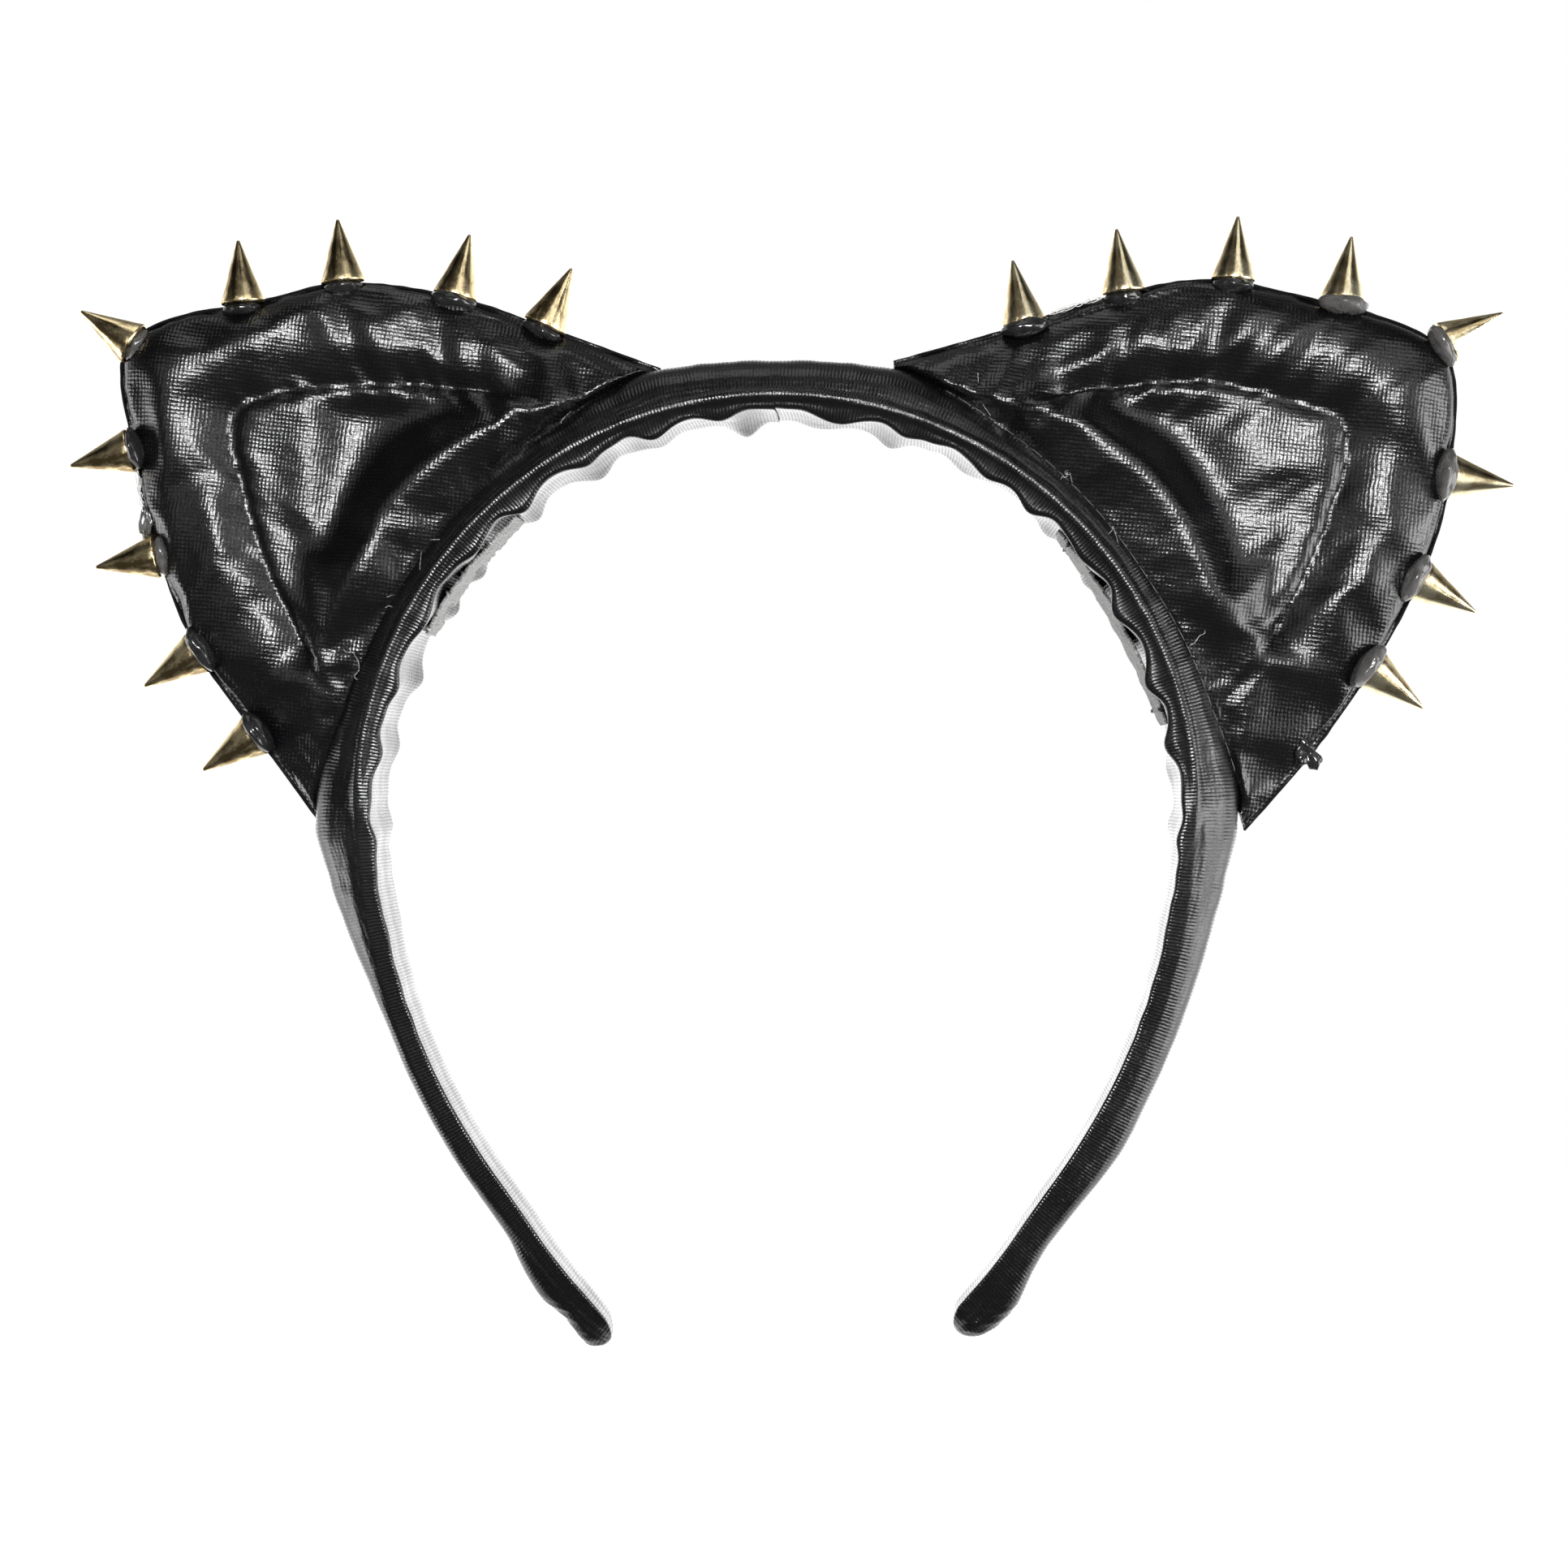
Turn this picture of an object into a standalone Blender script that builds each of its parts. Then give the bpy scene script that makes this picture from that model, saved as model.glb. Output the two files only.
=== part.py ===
"""A headband with padded animal ears, edged with screw-back cone spikes.

Every piece is its own object. The band is a springy plastic strip with foam on its outer side,
in a thin fabric sleeve. Each ear is a front cover, wadding, a stiffener sheet and a back cover,
quilted through and sewn to the sleeve. Each spike sits on a dab of hot glue that keys into its
threaded hole.

Metres, +Z up, front towards -Y, "left" is -X. The origin is the middle of the crown's underside.
The strip bends as the band is pulled open: that bend is two hinge lines along Y, one on each
side of the crown, so the band is made in three lengths. Lengths below are in millimetres.
"""

import math

import bmesh
import bpy
from mathutils import Vector

MM = 0.001

# The strip's mid-line: a half circle over the head, then two flatter arcs down the sides.
CROWN_RADIUS = 64.0
LEG_RADIUS = 95.5
HALF_LENGTH = 192.0
CROWN_FLAT = 4.0
HINGE_AT = 12.0
HINGE_GAP = 0.4
HINGE_CLEARANCE_DEG = 9.0

# The sleeve's outer skin along the strip: distance from the crown, half width, outer and inner face.
BAND_PROFILE = [
    (0.0, 10.0, 6.1, -1.8),
    (24.0, 10.0, 5.4, -1.8),
    (104.0, 9.5, 5.6, -1.8),
    (130.0, 7.6, 3.6, -1.8),
    (172.0, 6.4, 3.1, -1.8),
    (180.0, 5.2, 2.6, -1.6),
    (187.0, 5.8, 5.2, -1.6),
    (190.5, 4.6, 4.6, -0.9),
    (HALF_LENGTH, 2.6, 3.4, 0.2),
]
DOME_STEPS = 8
UNDERSIDE_CHAMFER = 1.2
SLEEVE_WALL = 0.6
TOUCH_GAP = 0.3

CORE_BOTTOM = -0.85
CORE_TOP = 0.75
CORE_SIDE_MARGIN = 1.9
CORE_END = 184.0
FOAM_SIDE_MARGIN = 2.4
FOAM_TOP_MARGIN = 1.1
FOAM_END = 164.0

# Each ear's free edge from the crown end round to the lower corner, as (distance from the middle, z).
EAR_EDGE = {
    "left": [
        (18.1, 6.9),
        (33.0, 12.4),
        (50.0, 18.2),
        (67.0, 20.5),
        (81.5, 17.6),
        (94.0, 14.9),
        (100.2, 11.0),
        (102.0, 4.5),
        (100.4, -6.5),
        (97.9, -17.5),
        (91.0, -35.5),
        (80.2, -51.0),
        (71.0, -63.5),
    ],
    "right": [
        (18.1, 7.9),
        (34.7, 12.5),
        (50.8, 17.6),
        (66.6, 20.3),
        (82.5, 17.9),
        (96.0, 14.6),
        (102.4, 11.0),
        (104.4, 4.0),
        (104.0, -5.5),
        (101.6, -19.2),
        (93.8, -35.9),
        (83.3, -51.5),
        (72.1, -64.5),
    ],
}
EAR_CENTRE = (77.0, -6.0)
EDGE_SAMPLES = 4
EDGE_INSET = 2.2
EAR_SEAT = 5.75
EAR_BAND_START = 24.0
EAR_BAND_END = 98.0
EDGE_START_CUT = 6.0
EDGE_END_CUT = 3.5
COVER_WALL = 0.6
COVER_PARTING = 0.15
FRONT_DEPTH = 4.6
BACK_DEPTH = 3.2
STIFFENER_THICKNESS = 1.2
# Rings of an ear's dome: size against the outline, and share of the depth reached.
DOME_RINGS = [(1.0, 0.0), (1.0, 0.3), (0.965, 0.76), (0.88, 0.97), (0.7, 1.0)]

THREAD_RADIUS = 0.25
QUILTING = [
    (38.0, 2.4),
    (52.0, 4.0),
    (67.0, 4.4),
    (80.0, 2.4),
    (84.6, -0.6),
    (84.2, -10.0),
    (80.0, -28.0),
    (70.6, -41.0),
]
SEAM_DEPTH = 5.0
SEAM_RADIAL = 5.4

WRAP_TAB = {"left": (48.0, 68.0), "right": (52.0, 83.0)}
WRAP_TAB_THICKNESS = 0.8

SPIKE_RADIUS = 3.5
SPIKE_LENGTH = 10.0
SPIKE_TIP_RADIUS = 0.3
SPIKE_BASE_BEVEL = 0.25
SPIKE_HOLE_RADIUS = 1.25
SPIKE_HOLE_DEPTH = 4.5
SPIKE_DEPTH_Y = -0.6
SPIKE_SIDES = 12
GLUE_RADIUS = 3.9
GLUE_THICKNESS = 1.1
GLUE_PLUG_RADIUS = 0.9
GLUE_PLUG_LENGTH = 3.0

# Distance of each spike along its ear's free edge, with its lean off the edge's normal in degrees.
SPIKES = {
    "left": [
        (19.2, 5.0),
        (33.9, 1.0),
        (51.5, 0.0),
        (67.5, 6.0),
        (86.0, -11.0),
        (103.0, -3.0),
        (120.0, 9.0),
        (136.3, -1.0),
        (152.0, 3.0),
    ],
    "right": [
        (21.0, -7.0),
        (37.0, -7.0),
        (54.0, -1.0),
        (71.0, 4.5),
        (88.5, -3.0),
        (109.2, -1.5),
        (126.0, -5.0),
        (141.5, -5.5),
    ],
}
RESIDUE_AT = 157.5

COLOURS = {
    "black_fabric": ((0.012, 0.012, 0.014), 0.42, 0.0),
    "raw_fabric": ((0.12, 0.12, 0.12), 0.9, 0.0),
    "thread": ((0.05, 0.05, 0.05), 0.7, 0.0),
    "strip_plastic": ((0.6, 0.6, 0.58), 0.5, 0.0),
    "foam": ((0.75, 0.72, 0.6), 0.95, 0.0),
    "wadding": ((0.85, 0.85, 0.83), 0.95, 0.0),
    "stiffener": ((0.2, 0.2, 0.21), 0.85, 0.0),
    "spike_metal": ((0.52, 0.38, 0.14), 0.25, 1.0),
    "hot_glue": ((0.7, 0.7, 0.66), 0.3, 0.0),
}


def clear_scene():
    for obj in list(bpy.data.objects):
        bpy.data.objects.remove(obj)


def make_material(name):
    colour, roughness, metallic = COLOURS[name]
    material = bpy.data.materials.new(name)
    material.use_nodes = True
    shader = material.node_tree.nodes["Principled BSDF"]
    shader.inputs["Base Color"].default_value = (*colour, 1.0)
    shader.inputs["Roughness"].default_value = roughness
    shader.inputs["Metallic"].default_value = metallic
    return material


def put_in_scene(name, data, material, parent):
    """Links a new object for this mesh or curve, keeping its world place under its parent."""
    data.materials.append(material)
    obj = bpy.data.objects.new(name, data)
    bpy.data.collections["animal_ears_headband"].objects.link(obj)
    obj.parent = parent
    obj.location = -parent.location
    return obj


def mesh_from(name, bm):
    """Closes the bmesh off as a mesh whose smooth areas are shaded smooth."""
    bmesh.ops.recalc_face_normals(bm, faces=bm.faces[:])
    mesh = bpy.data.meshes.new(name)
    bm.to_mesh(mesh)
    bm.free()
    mesh.shade_smooth()
    mesh.set_sharp_from_angle(angle=math.radians(40))
    return mesh


def add_solidify(obj, thickness):
    modifier = obj.modifiers.new("wall", "SOLIDIFY")
    modifier.thickness = thickness * MM
    modifier.offset = -1
    modifier.use_even_offset = True


# The band: places along the strip, and sections across it.


def band_point(s, y, r):
    """The point at distance s along the strip (negative to the left), y across it, r outwards."""
    distance = abs(s)
    quarter = CROWN_RADIUS * math.pi / 2
    if distance <= quarter:
        angle = distance / CROWN_RADIUS
        centre_x = 0.0
        radius = CROWN_RADIUS
    else:
        angle = math.pi / 2 + (distance - quarter) / LEG_RADIUS
        centre_x = CROWN_RADIUS - LEG_RADIUS
        radius = LEG_RADIUS
    underside = CROWN_RADIUS + BAND_PROFILE[0][3]
    centre_z = -underside * math.cos(CROWN_FLAT / CROWN_RADIUS)
    x = centre_x + (radius + r) * math.sin(angle)
    z = centre_z + (radius + r) * math.cos(angle)
    return Vector((math.copysign(1, s) * x, y, z))


def band_size(s):
    """Half width, outer face and inner face of the sleeve at distance s, from BAND_PROFILE."""
    distance = abs(s)
    for start, end in zip(BAND_PROFILE, BAND_PROFILE[1:]):
        if distance <= end[0]:
            share = (distance - start[0]) / (end[0] - start[0])
            return [a + (b - a) * share for a, b in zip(start[1:], end[1:])]
    return list(BAND_PROFILE[-1][1:])


def sleeve_section(s):
    """The sleeve's outer skin: a flat underside, chamfers up to the strip's edge, a domed top."""
    half, top, bottom = band_size(s)
    chamfer = min(UNDERSIDE_CHAMFER, half / 3)
    shoulder = max(0.0, bottom + 0.4)
    section = [(chamfer - half, bottom), (half - chamfer, bottom)]
    for i in range(DOME_STEPS + 1):
        turn = math.pi * i / DOME_STEPS
        section.append((half * math.cos(turn), shoulder + (top - shoulder) * math.sin(turn)))
    return section


def core_section(s):
    half = band_size(s)[0] - CORE_SIDE_MARGIN
    return [(-half, CORE_BOTTOM), (half, CORE_BOTTOM), (half, CORE_TOP), (-half, CORE_TOP)]


def foam_section(s):
    """A low dome that stands on the strip, inside the sleeve."""
    half, top, _ = band_size(s)
    half -= FOAM_SIDE_MARGIN
    bottom = CORE_TOP + TOUCH_GAP
    shoulder = bottom + 0.4
    crest = top - FOAM_TOP_MARGIN
    section = [(-half, bottom), (half, bottom)]
    for i in range(DOME_STEPS - 1):
        turn = math.pi * i / (DOME_STEPS - 2)
        section.append((half * math.cos(turn), shoulder + (crest - shoulder) * math.sin(turn)))
    return section


def flat_section(y_start, y_end, r_start, r_end):
    return [(y_start, r_start), (y_end, r_start), (y_end, r_end), (y_start, r_end)]


def hinge_lean(r):
    """How far an end face leans back from the hinge line, so that the outer side can close up."""
    return max(0.0, r) * math.tan(math.radians(HINGE_CLEARANCE_DEG))


def band_loft(stations, section_at, closed_ends, hinge_ends):
    """Rings of the section at each station, joined into a skin. An end at a hinge leans back."""
    bm = bmesh.new()
    rings = []
    middle = (stations[0] + stations[-1]) / 2
    for index, s in enumerate(stations):
        away = math.copysign(1, middle - s)
        leans = (index == 0 and hinge_ends[0]) or (index == len(stations) - 1 and hinge_ends[1])
        ring = []
        for y, r in section_at(s):
            shift = away * hinge_lean(r) if leans else 0.0
            ring.append(bm.verts.new(band_point(s + shift, y, r) * MM))
        rings.append(ring)
    for ring, following in zip(rings, rings[1:]):
        for i in range(len(ring)):
            j = (i + 1) % len(ring)
            bm.faces.new((ring[i], ring[j], following[j], following[i]))
    for ring, closed in zip((rings[0], rings[-1]), closed_ends):
        if closed:
            bm.faces.new(ring)
    return bm


def stations_between(start, end, step):
    count = max(1, round(abs(end - start) / step))
    return [start + (end - start) * i / count for i in range(count + 1)]


def side_stations(sign, end):
    """From the hinge down one leg, closer together where the profile changes quickly."""
    start = HINGE_AT + HINGE_GAP / 2
    if end <= BAND_PROFILE[4][0]:
        return [sign * s for s in stations_between(start, end, 9.0)]
    legs = stations_between(start, BAND_PROFILE[4][0], 9.0)
    tip = [row[0] for row in BAND_PROFILE[5:] if row[0] < end]
    return [sign * s for s in legs + tip + [end]]


def build_crown(materials, crown):
    """The middle length of sleeve, foam and strip, which rests on the head."""
    end = HINGE_AT - HINGE_GAP / 2
    stations = [-end, -8.0, -CROWN_FLAT, CROWN_FLAT, 8.0, end]
    both = (True, True)
    skin = band_loft(stations, sleeve_section, (False, False), both)
    sleeve = put_in_scene("sleeve_crown", mesh_from("sleeve_crown", skin), materials["black_fabric"], crown)
    add_solidify(sleeve, SLEEVE_WALL)
    foam = band_loft(stations, foam_section, both, both)
    put_in_scene("foam_crown", mesh_from("foam_crown", foam), materials["foam"], crown)
    core = band_loft(stations, core_section, both, both)
    put_in_scene("core_crown", mesh_from("core_crown", core), materials["strip_plastic"], crown)


def build_leg(side, materials, parent):
    """One side's length of sleeve, foam and strip, from the hinge to the tip behind the ear."""
    sign = -1 if side == "left" else 1
    hinge = (True, False)
    skin = band_loft(side_stations(sign, HALF_LENGTH), sleeve_section, (False, True), hinge)
    name = f"sleeve_{side}"
    sleeve = put_in_scene(name, mesh_from(name, skin), materials["black_fabric"], parent)
    add_solidify(sleeve, SLEEVE_WALL)
    foam = band_loft(side_stations(sign, FOAM_END), foam_section, (True, True), hinge)
    put_in_scene(f"foam_{side}", mesh_from(f"foam_{side}", foam), materials["foam"], parent)
    core = band_loft(side_stations(sign, CORE_END), core_section, (True, True), hinge)
    put_in_scene(f"core_{side}", mesh_from(f"core_{side}", core), materials["strip_plastic"], parent)


def build_wrap_tab(side, materials, parent):
    """The raw end of the sleeve's fabric, glued down on the inner face under the ear."""
    sign = -1 if side == "left" else 1
    start, end = WRAP_TAB[side]
    outer = BAND_PROFILE[0][3] - TOUCH_GAP
    section = flat_section(1.0, 8.0, outer - WRAP_TAB_THICKNESS, outer)
    stations = [sign * s for s in stations_between(start, end, 5.0)]
    bm = band_loft(stations, lambda s: section, (True, True), (False, False))
    name = f"wrap_tab_{side}"
    put_in_scene(name, mesh_from(name, bm), materials["raw_fabric"], parent)


# The ears: outlines in the X-Z plane.


def smooth_through(points, samples):
    """A Catmull-Rom curve through the points, with this many steps between each two."""
    ends = [points[0] * 2 - points[1], *points, points[-1] * 2 - points[-2]]
    curve = []
    for i in range(len(points) - 1):
        a, b, c, d = ends[i : i + 4]
        for step in range(samples):
            t = step / samples
            curve.append(
                (b * 2 + (c - a) * t + (a * 2 - b * 5 + c * 4 - d) * t**2 + (b * 3 - a - c * 3 + d) * t**3) / 2
            )
    return curve + [points[-1]]


def ear_edge(side):
    """The ear's free edge as points of the X-Z plane, on its own side."""
    sign = -1 if side == "left" else 1
    return smooth_through([Vector((sign * x, z)) for x, z in EAR_EDGE[side]], EDGE_SAMPLES)


def along(curve, distance):
    """The point at this distance along a curve, and the direction there."""
    for start, end in zip(curve, curve[1:]):
        step = (end - start).length
        if distance <= step:
            return start.lerp(end, distance / step), (end - start).normalized()
        distance -= step
    return curve[-1], (curve[-1] - curve[-2]).normalized()


def outward(side, direction):
    """The edge's outward normal, to the left of its direction on the right ear."""
    return Vector((direction.y, -direction.x)) * (1 if side == "left" else -1)


def curve_length(curve):
    return sum((b - a).length for a, b in zip(curve, curve[1:]))


def ear_outline(side, margin):
    """The ear's closed outline, drawn in by margin from the cover's: the free edge, then the seat
    that follows the band."""
    sign = -1 if side == "left" else 1
    edge = ear_edge(side)
    start = EDGE_START_CUT + 3 * margin
    end = curve_length(edge) - EDGE_END_CUT - 2 * margin
    outline = []
    for distance in stations_between(start, end, 5.5):
        point, direction = along(edge, distance)
        outline.append(point - outward(side, direction) * (EDGE_INSET + margin))
    for s in stations_between(EAR_BAND_END - 2 * margin, EAR_BAND_START + 3 * margin, 9.0):
        seat = band_point(sign * s, 0.0, EAR_SEAT + margin)
        outline.append(Vector((seat.x, seat.z)))
    return outline


def cushion(side, margin, rim_y, peak_y, closed):
    """A shallow dome on the ear's outline, from rim_y to peak_y: the outline is pushed straight
    out, then drawn in towards the ear's centre in steps. Open at the rim unless closed."""
    sign = -1 if side == "left" else 1
    centre = Vector((sign * EAR_CENTRE[0], 0.0, EAR_CENTRE[1])) * MM
    bm = bmesh.new()
    rim = [bm.verts.new(Vector((p.x, rim_y, p.y)) * MM) for p in ear_outline(side, margin)]
    base = bm.faces.new(rim)
    face = base
    for (before, _), (size, share) in zip(DOME_RINGS, DOME_RINGS[1:]):
        made = bmesh.ops.extrude_face_region(bm, geom=[face], use_keep_orig=face is base)
        if face is not base:
            bmesh.ops.delete(bm, geom=[face], context="FACES_ONLY")
        face = next(part for part in made["geom"] if isinstance(part, bmesh.types.BMFace))
        for vert in face.verts:
            offset = (vert.co - centre) * (size / before)
            vert.co = centre + offset
            vert.co.y = (rim_y + (peak_y - rim_y) * share) * MM
    if not closed:
        bmesh.ops.delete(bm, geom=[base], context="FACES_ONLY")
    return bm


def build_ear(side, materials, parent):
    """One padded ear: two cover shells, the wadding and the stiffener between them, its threads."""
    name = f"ear_{side}"
    front = mesh_from(name, cushion(side, 0.0, -COVER_PARTING, -FRONT_DEPTH, False))
    cover = put_in_scene(f"{name}_front_cover", front, materials["black_fabric"], parent)
    add_solidify(cover, COVER_WALL)
    back = mesh_from(name, cushion(side, 0.0, COVER_PARTING, BACK_DEPTH, False))
    cover = put_in_scene(f"{name}_back_cover", back, materials["black_fabric"], parent)
    add_solidify(cover, COVER_WALL)
    inner = COVER_WALL + TOUCH_GAP
    soft = mesh_from(name, cushion(side, inner + 0.1, 0.0, inner - FRONT_DEPTH, True))
    put_in_scene(f"{name}_wadding", soft, materials["wadding"], parent)
    build_stiffener(side, materials, parent)
    build_ear_threads(side, materials, parent)


def build_stiffener(side, materials, parent):
    """A flat sheet behind the wadding that keeps the ear upright."""
    bm = bmesh.new()
    margin = COVER_WALL + 3 * TOUCH_GAP
    rim = [bm.verts.new(Vector((p.x, TOUCH_GAP, p.y)) * MM) for p in ear_outline(side, margin)]
    made = bmesh.ops.extrude_face_region(bm, geom=[bm.faces.new(rim)], use_keep_orig=True)
    moved = [g for g in made["geom"] if isinstance(g, bmesh.types.BMVert)]
    bmesh.ops.translate(bm, vec=Vector((0, STIFFENER_THICKNESS * MM, 0)), verts=moved)
    name = f"ear_{side}_stiffener"
    put_in_scene(name, mesh_from(name, bm), materials["stiffener"], parent)


def build_thread(name, points, material, parent):
    """A sewing thread: a round cord through the points."""
    curve = bpy.data.curves.new(name, "CURVE")
    curve.dimensions = "3D"
    curve.bevel_depth = THREAD_RADIUS * MM
    curve.bevel_resolution = 1
    curve.use_fill_caps = True
    spline = curve.splines.new("POLY")
    spline.points.add(len(points) - 1)
    for place, point in zip(spline.points, points):
        place.co = (*(point * MM), 1.0)
    put_in_scene(name, curve, material, parent)


def build_ear_threads(side, materials, parent):
    """The quilting thread across the ear's front, and the seam thread that sews it to the band."""
    sign = -1 if side == "left" else 1
    run = smooth_through([Vector((sign * x, z)) for x, z in QUILTING], 3)
    depth = -(FRONT_DEPTH + TOUCH_GAP + THREAD_RADIUS)
    quilting = [Vector((p.x, depth, p.y)) for p in run]
    build_thread(f"ear_{side}_quilting", quilting, materials["thread"], parent)
    stations = stations_between(EAR_BAND_START, EAR_BAND_END, 6.0)
    seam = [band_point(sign * s, -SEAM_DEPTH, SEAM_RADIAL) for s in stations]
    build_thread(f"ear_{side}_seam", seam, materials["thread"], parent)


# The spikes and the glue that holds them.


def turned(name, profile, material, parent, point, axis):
    """A turned piece: the profile's (radius, height) points, from the top down its outer side,
    swept about the axis that starts at the point."""
    bm = bmesh.new()
    verts = [bm.verts.new((radius * MM, 0.0, height * MM)) for radius, height in profile]
    for a, b in zip(verts, verts[1:]):
        bm.edges.new((a, b))
    mesh = bpy.data.meshes.new(name)
    bm.to_mesh(mesh)
    bm.free()
    obj = put_in_scene(name, mesh, material, parent)
    obj.location += Vector(point) * MM
    obj.rotation_mode = "QUATERNION"
    obj.rotation_quaternion = Vector((0, 0, 1)).rotation_difference(Vector(axis))
    screw = obj.modifiers.new("turn", "SCREW")
    screw.steps = SPIKE_SIDES
    screw.render_steps = SPIKE_SIDES
    screw.use_merge_vertices = True
    screw.merge_threshold = 0.00001
    screw.use_smooth_shade = True
    return obj


def spike_place(side, distance, lean_deg):
    """Where a spike's base sits on the ear's edge, and which way it points."""
    point, direction = along(ear_edge(side), distance)
    normal = outward(side, direction)
    sign = -1 if side == "left" else 1
    lean = math.radians(lean_deg) * sign
    axis = Vector((
        normal.x * math.cos(lean) - normal.y * math.sin(lean),
        0.0,
        normal.x * math.sin(lean) + normal.y * math.cos(lean),
    ))
    return Vector((point.x, SPIKE_DEPTH_Y, point.y)), axis


def spike_profile():
    """A cone with a blunt tip and a screw hole up from its base."""
    return [
        (0.0, SPIKE_LENGTH),
        (SPIKE_TIP_RADIUS, SPIKE_LENGTH - SPIKE_TIP_RADIUS),
        (SPIKE_RADIUS, SPIKE_BASE_BEVEL),
        (SPIKE_RADIUS - SPIKE_BASE_BEVEL, 0.0),
        (SPIKE_HOLE_RADIUS, 0.0),
        (SPIKE_HOLE_RADIUS, SPIKE_HOLE_DEPTH),
        (0.0, SPIKE_HOLE_DEPTH + 0.5),
    ]


def glue_profile():
    """A dab between the spike's base and the ear's edge, with a plug up into the screw hole."""
    top = -TOUCH_GAP
    bottom = top - GLUE_THICKNESS
    return [
        (0.0, top + GLUE_PLUG_LENGTH),
        (GLUE_PLUG_RADIUS, top + GLUE_PLUG_LENGTH - 0.4),
        (GLUE_PLUG_RADIUS, top),
        (GLUE_RADIUS - 0.4, top),
        (GLUE_RADIUS, bottom + 0.3),
        (GLUE_RADIUS - 0.5, bottom),
        (0.0, bottom),
    ]


def residue_profile():
    """What is left of a dab whose spike came off: a low lump."""
    bottom = -TOUCH_GAP - GLUE_THICKNESS
    return [(0.0, 0.6), (1.6, 0.3), (2.6, bottom + 0.5), (2.3, bottom), (0.0, bottom)]


def build_spikes(side, materials, parent):
    for number, (distance, lean) in enumerate(SPIKES[side], start=1):
        point, axis = spike_place(side, distance, lean)
        turned(f"spike_{side}_{number}", spike_profile(), materials["spike_metal"], parent, point, axis)
        turned(f"glue_{side}_{number}", glue_profile(), materials["hot_glue"], parent, point, axis)


def build_residue(materials, parent):
    point, axis = spike_place("right", RESIDUE_AT, 0.0)
    turned("glue_right_residue", residue_profile(), materials["hot_glue"], parent, point, axis)


def make_body(name, location):
    body = bpy.data.objects.new(name, None)
    body.location = location * MM
    bpy.data.collections["animal_ears_headband"].objects.link(body)
    return body


def build():
    clear_scene()
    collection = bpy.data.collections.new("animal_ears_headband")
    bpy.context.scene.collection.children.link(collection)
    materials = {name: make_material(name) for name in COLOURS}
    build_crown(materials, make_body("crown", Vector((0, 0, 0))))
    for side, sign in (("left", -1), ("right", 1)):
        body = make_body(f"{side}_side", band_point(sign * HINGE_AT, 0.0, 0.0))
        build_leg(side, materials, body)
        build_wrap_tab(side, materials, body)
        build_ear(side, materials, body)
        build_spikes(side, materials, body)
        if side == "right":
            build_residue(materials, body)


build()
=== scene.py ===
import math

import bmesh
import bpy
import numpy as np
from mathutils import Matrix, Vector, noise


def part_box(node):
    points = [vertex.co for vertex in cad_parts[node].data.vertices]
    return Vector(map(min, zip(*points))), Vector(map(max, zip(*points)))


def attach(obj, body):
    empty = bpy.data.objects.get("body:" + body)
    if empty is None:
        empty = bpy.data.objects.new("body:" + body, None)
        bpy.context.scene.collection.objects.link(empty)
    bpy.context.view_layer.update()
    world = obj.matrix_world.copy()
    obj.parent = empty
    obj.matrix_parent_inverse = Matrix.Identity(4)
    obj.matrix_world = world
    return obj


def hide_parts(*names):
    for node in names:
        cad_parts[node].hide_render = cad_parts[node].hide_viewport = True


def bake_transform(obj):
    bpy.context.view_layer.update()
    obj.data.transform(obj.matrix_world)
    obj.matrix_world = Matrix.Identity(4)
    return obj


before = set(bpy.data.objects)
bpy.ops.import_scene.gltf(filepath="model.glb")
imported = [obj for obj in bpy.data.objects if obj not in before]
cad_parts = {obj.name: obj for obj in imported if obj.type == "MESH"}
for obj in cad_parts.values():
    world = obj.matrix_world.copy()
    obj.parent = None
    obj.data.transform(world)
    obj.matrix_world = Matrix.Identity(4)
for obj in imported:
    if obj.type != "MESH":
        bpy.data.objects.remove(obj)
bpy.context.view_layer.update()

# The looks of the animal ears headband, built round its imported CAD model. Lengths are in
# millimetres until put_mesh, which makes metres of them. "left" is -X, the front is -Y.

MM = 0.001
SIDES = (("left", -1.0), ("right", 1.0))

# The strip's mid-line, as in the CAD: a half circle over the head, then two flatter arcs.
CROWN_RADIUS = 64.0
LEG_RADIUS = 95.5
QUARTER = CROWN_RADIUS * math.pi / 2
CROWN_CENTRE_Z = -62.08
HALF_LENGTH = 192.0

# The sleeve along the strip: distance from the crown, half width, the outer face on the left and on
# the right side, and the inner face.
BAND_PROFILE = np.array([
    (0.0, 10.0, 6.1, 6.1, -1.8),
    (9.0, 10.0, 6.5, 6.5, -1.8),
    (17.0, 10.0, 7.4, 7.4, -1.8),
    (26.0, 10.0, 6.4, 6.4, -1.8),
    (36.0, 10.0, 5.5, 5.5, -1.8),
    (86.0, 9.8, 5.5, 5.5, -1.8),
    (96.0, 9.6, 7.4, 7.2, -1.8),
    (103.0, 9.5, 8.0, 7.2, -2.0),
    (109.0, 9.2, 6.3, 5.9, -2.3),
    (117.0, 8.6, 4.6, 4.8, -2.6),
    (125.0, 7.9, 3.0, 4.2, -2.7),
    (133.0, 7.3, 2.0, 3.8, -2.7),
    (144.0, 7.0, 1.9, 3.6, -2.7),
    (153.0, 6.8, 1.9, 4.0, -2.7),
    (163.0, 6.5, 2.1, 3.4, -2.5),
    (171.0, 6.2, 2.5, 3.3, -2.2),
    (175.0, 6.0, 3.7, 3.8, -2.0),
    (180.0, 5.8, 4.5, 5.4, -1.9),
    (185.0, 5.2, 3.3, 5.2, -1.8),
    (188.5, 5.0, 4.5, 4.0, -1.5),
    (192.0, 3.2, 3.8, 3.0, -0.6),
])
SLEEVE_END = {"left": 192.0, "right": 189.5}
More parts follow.
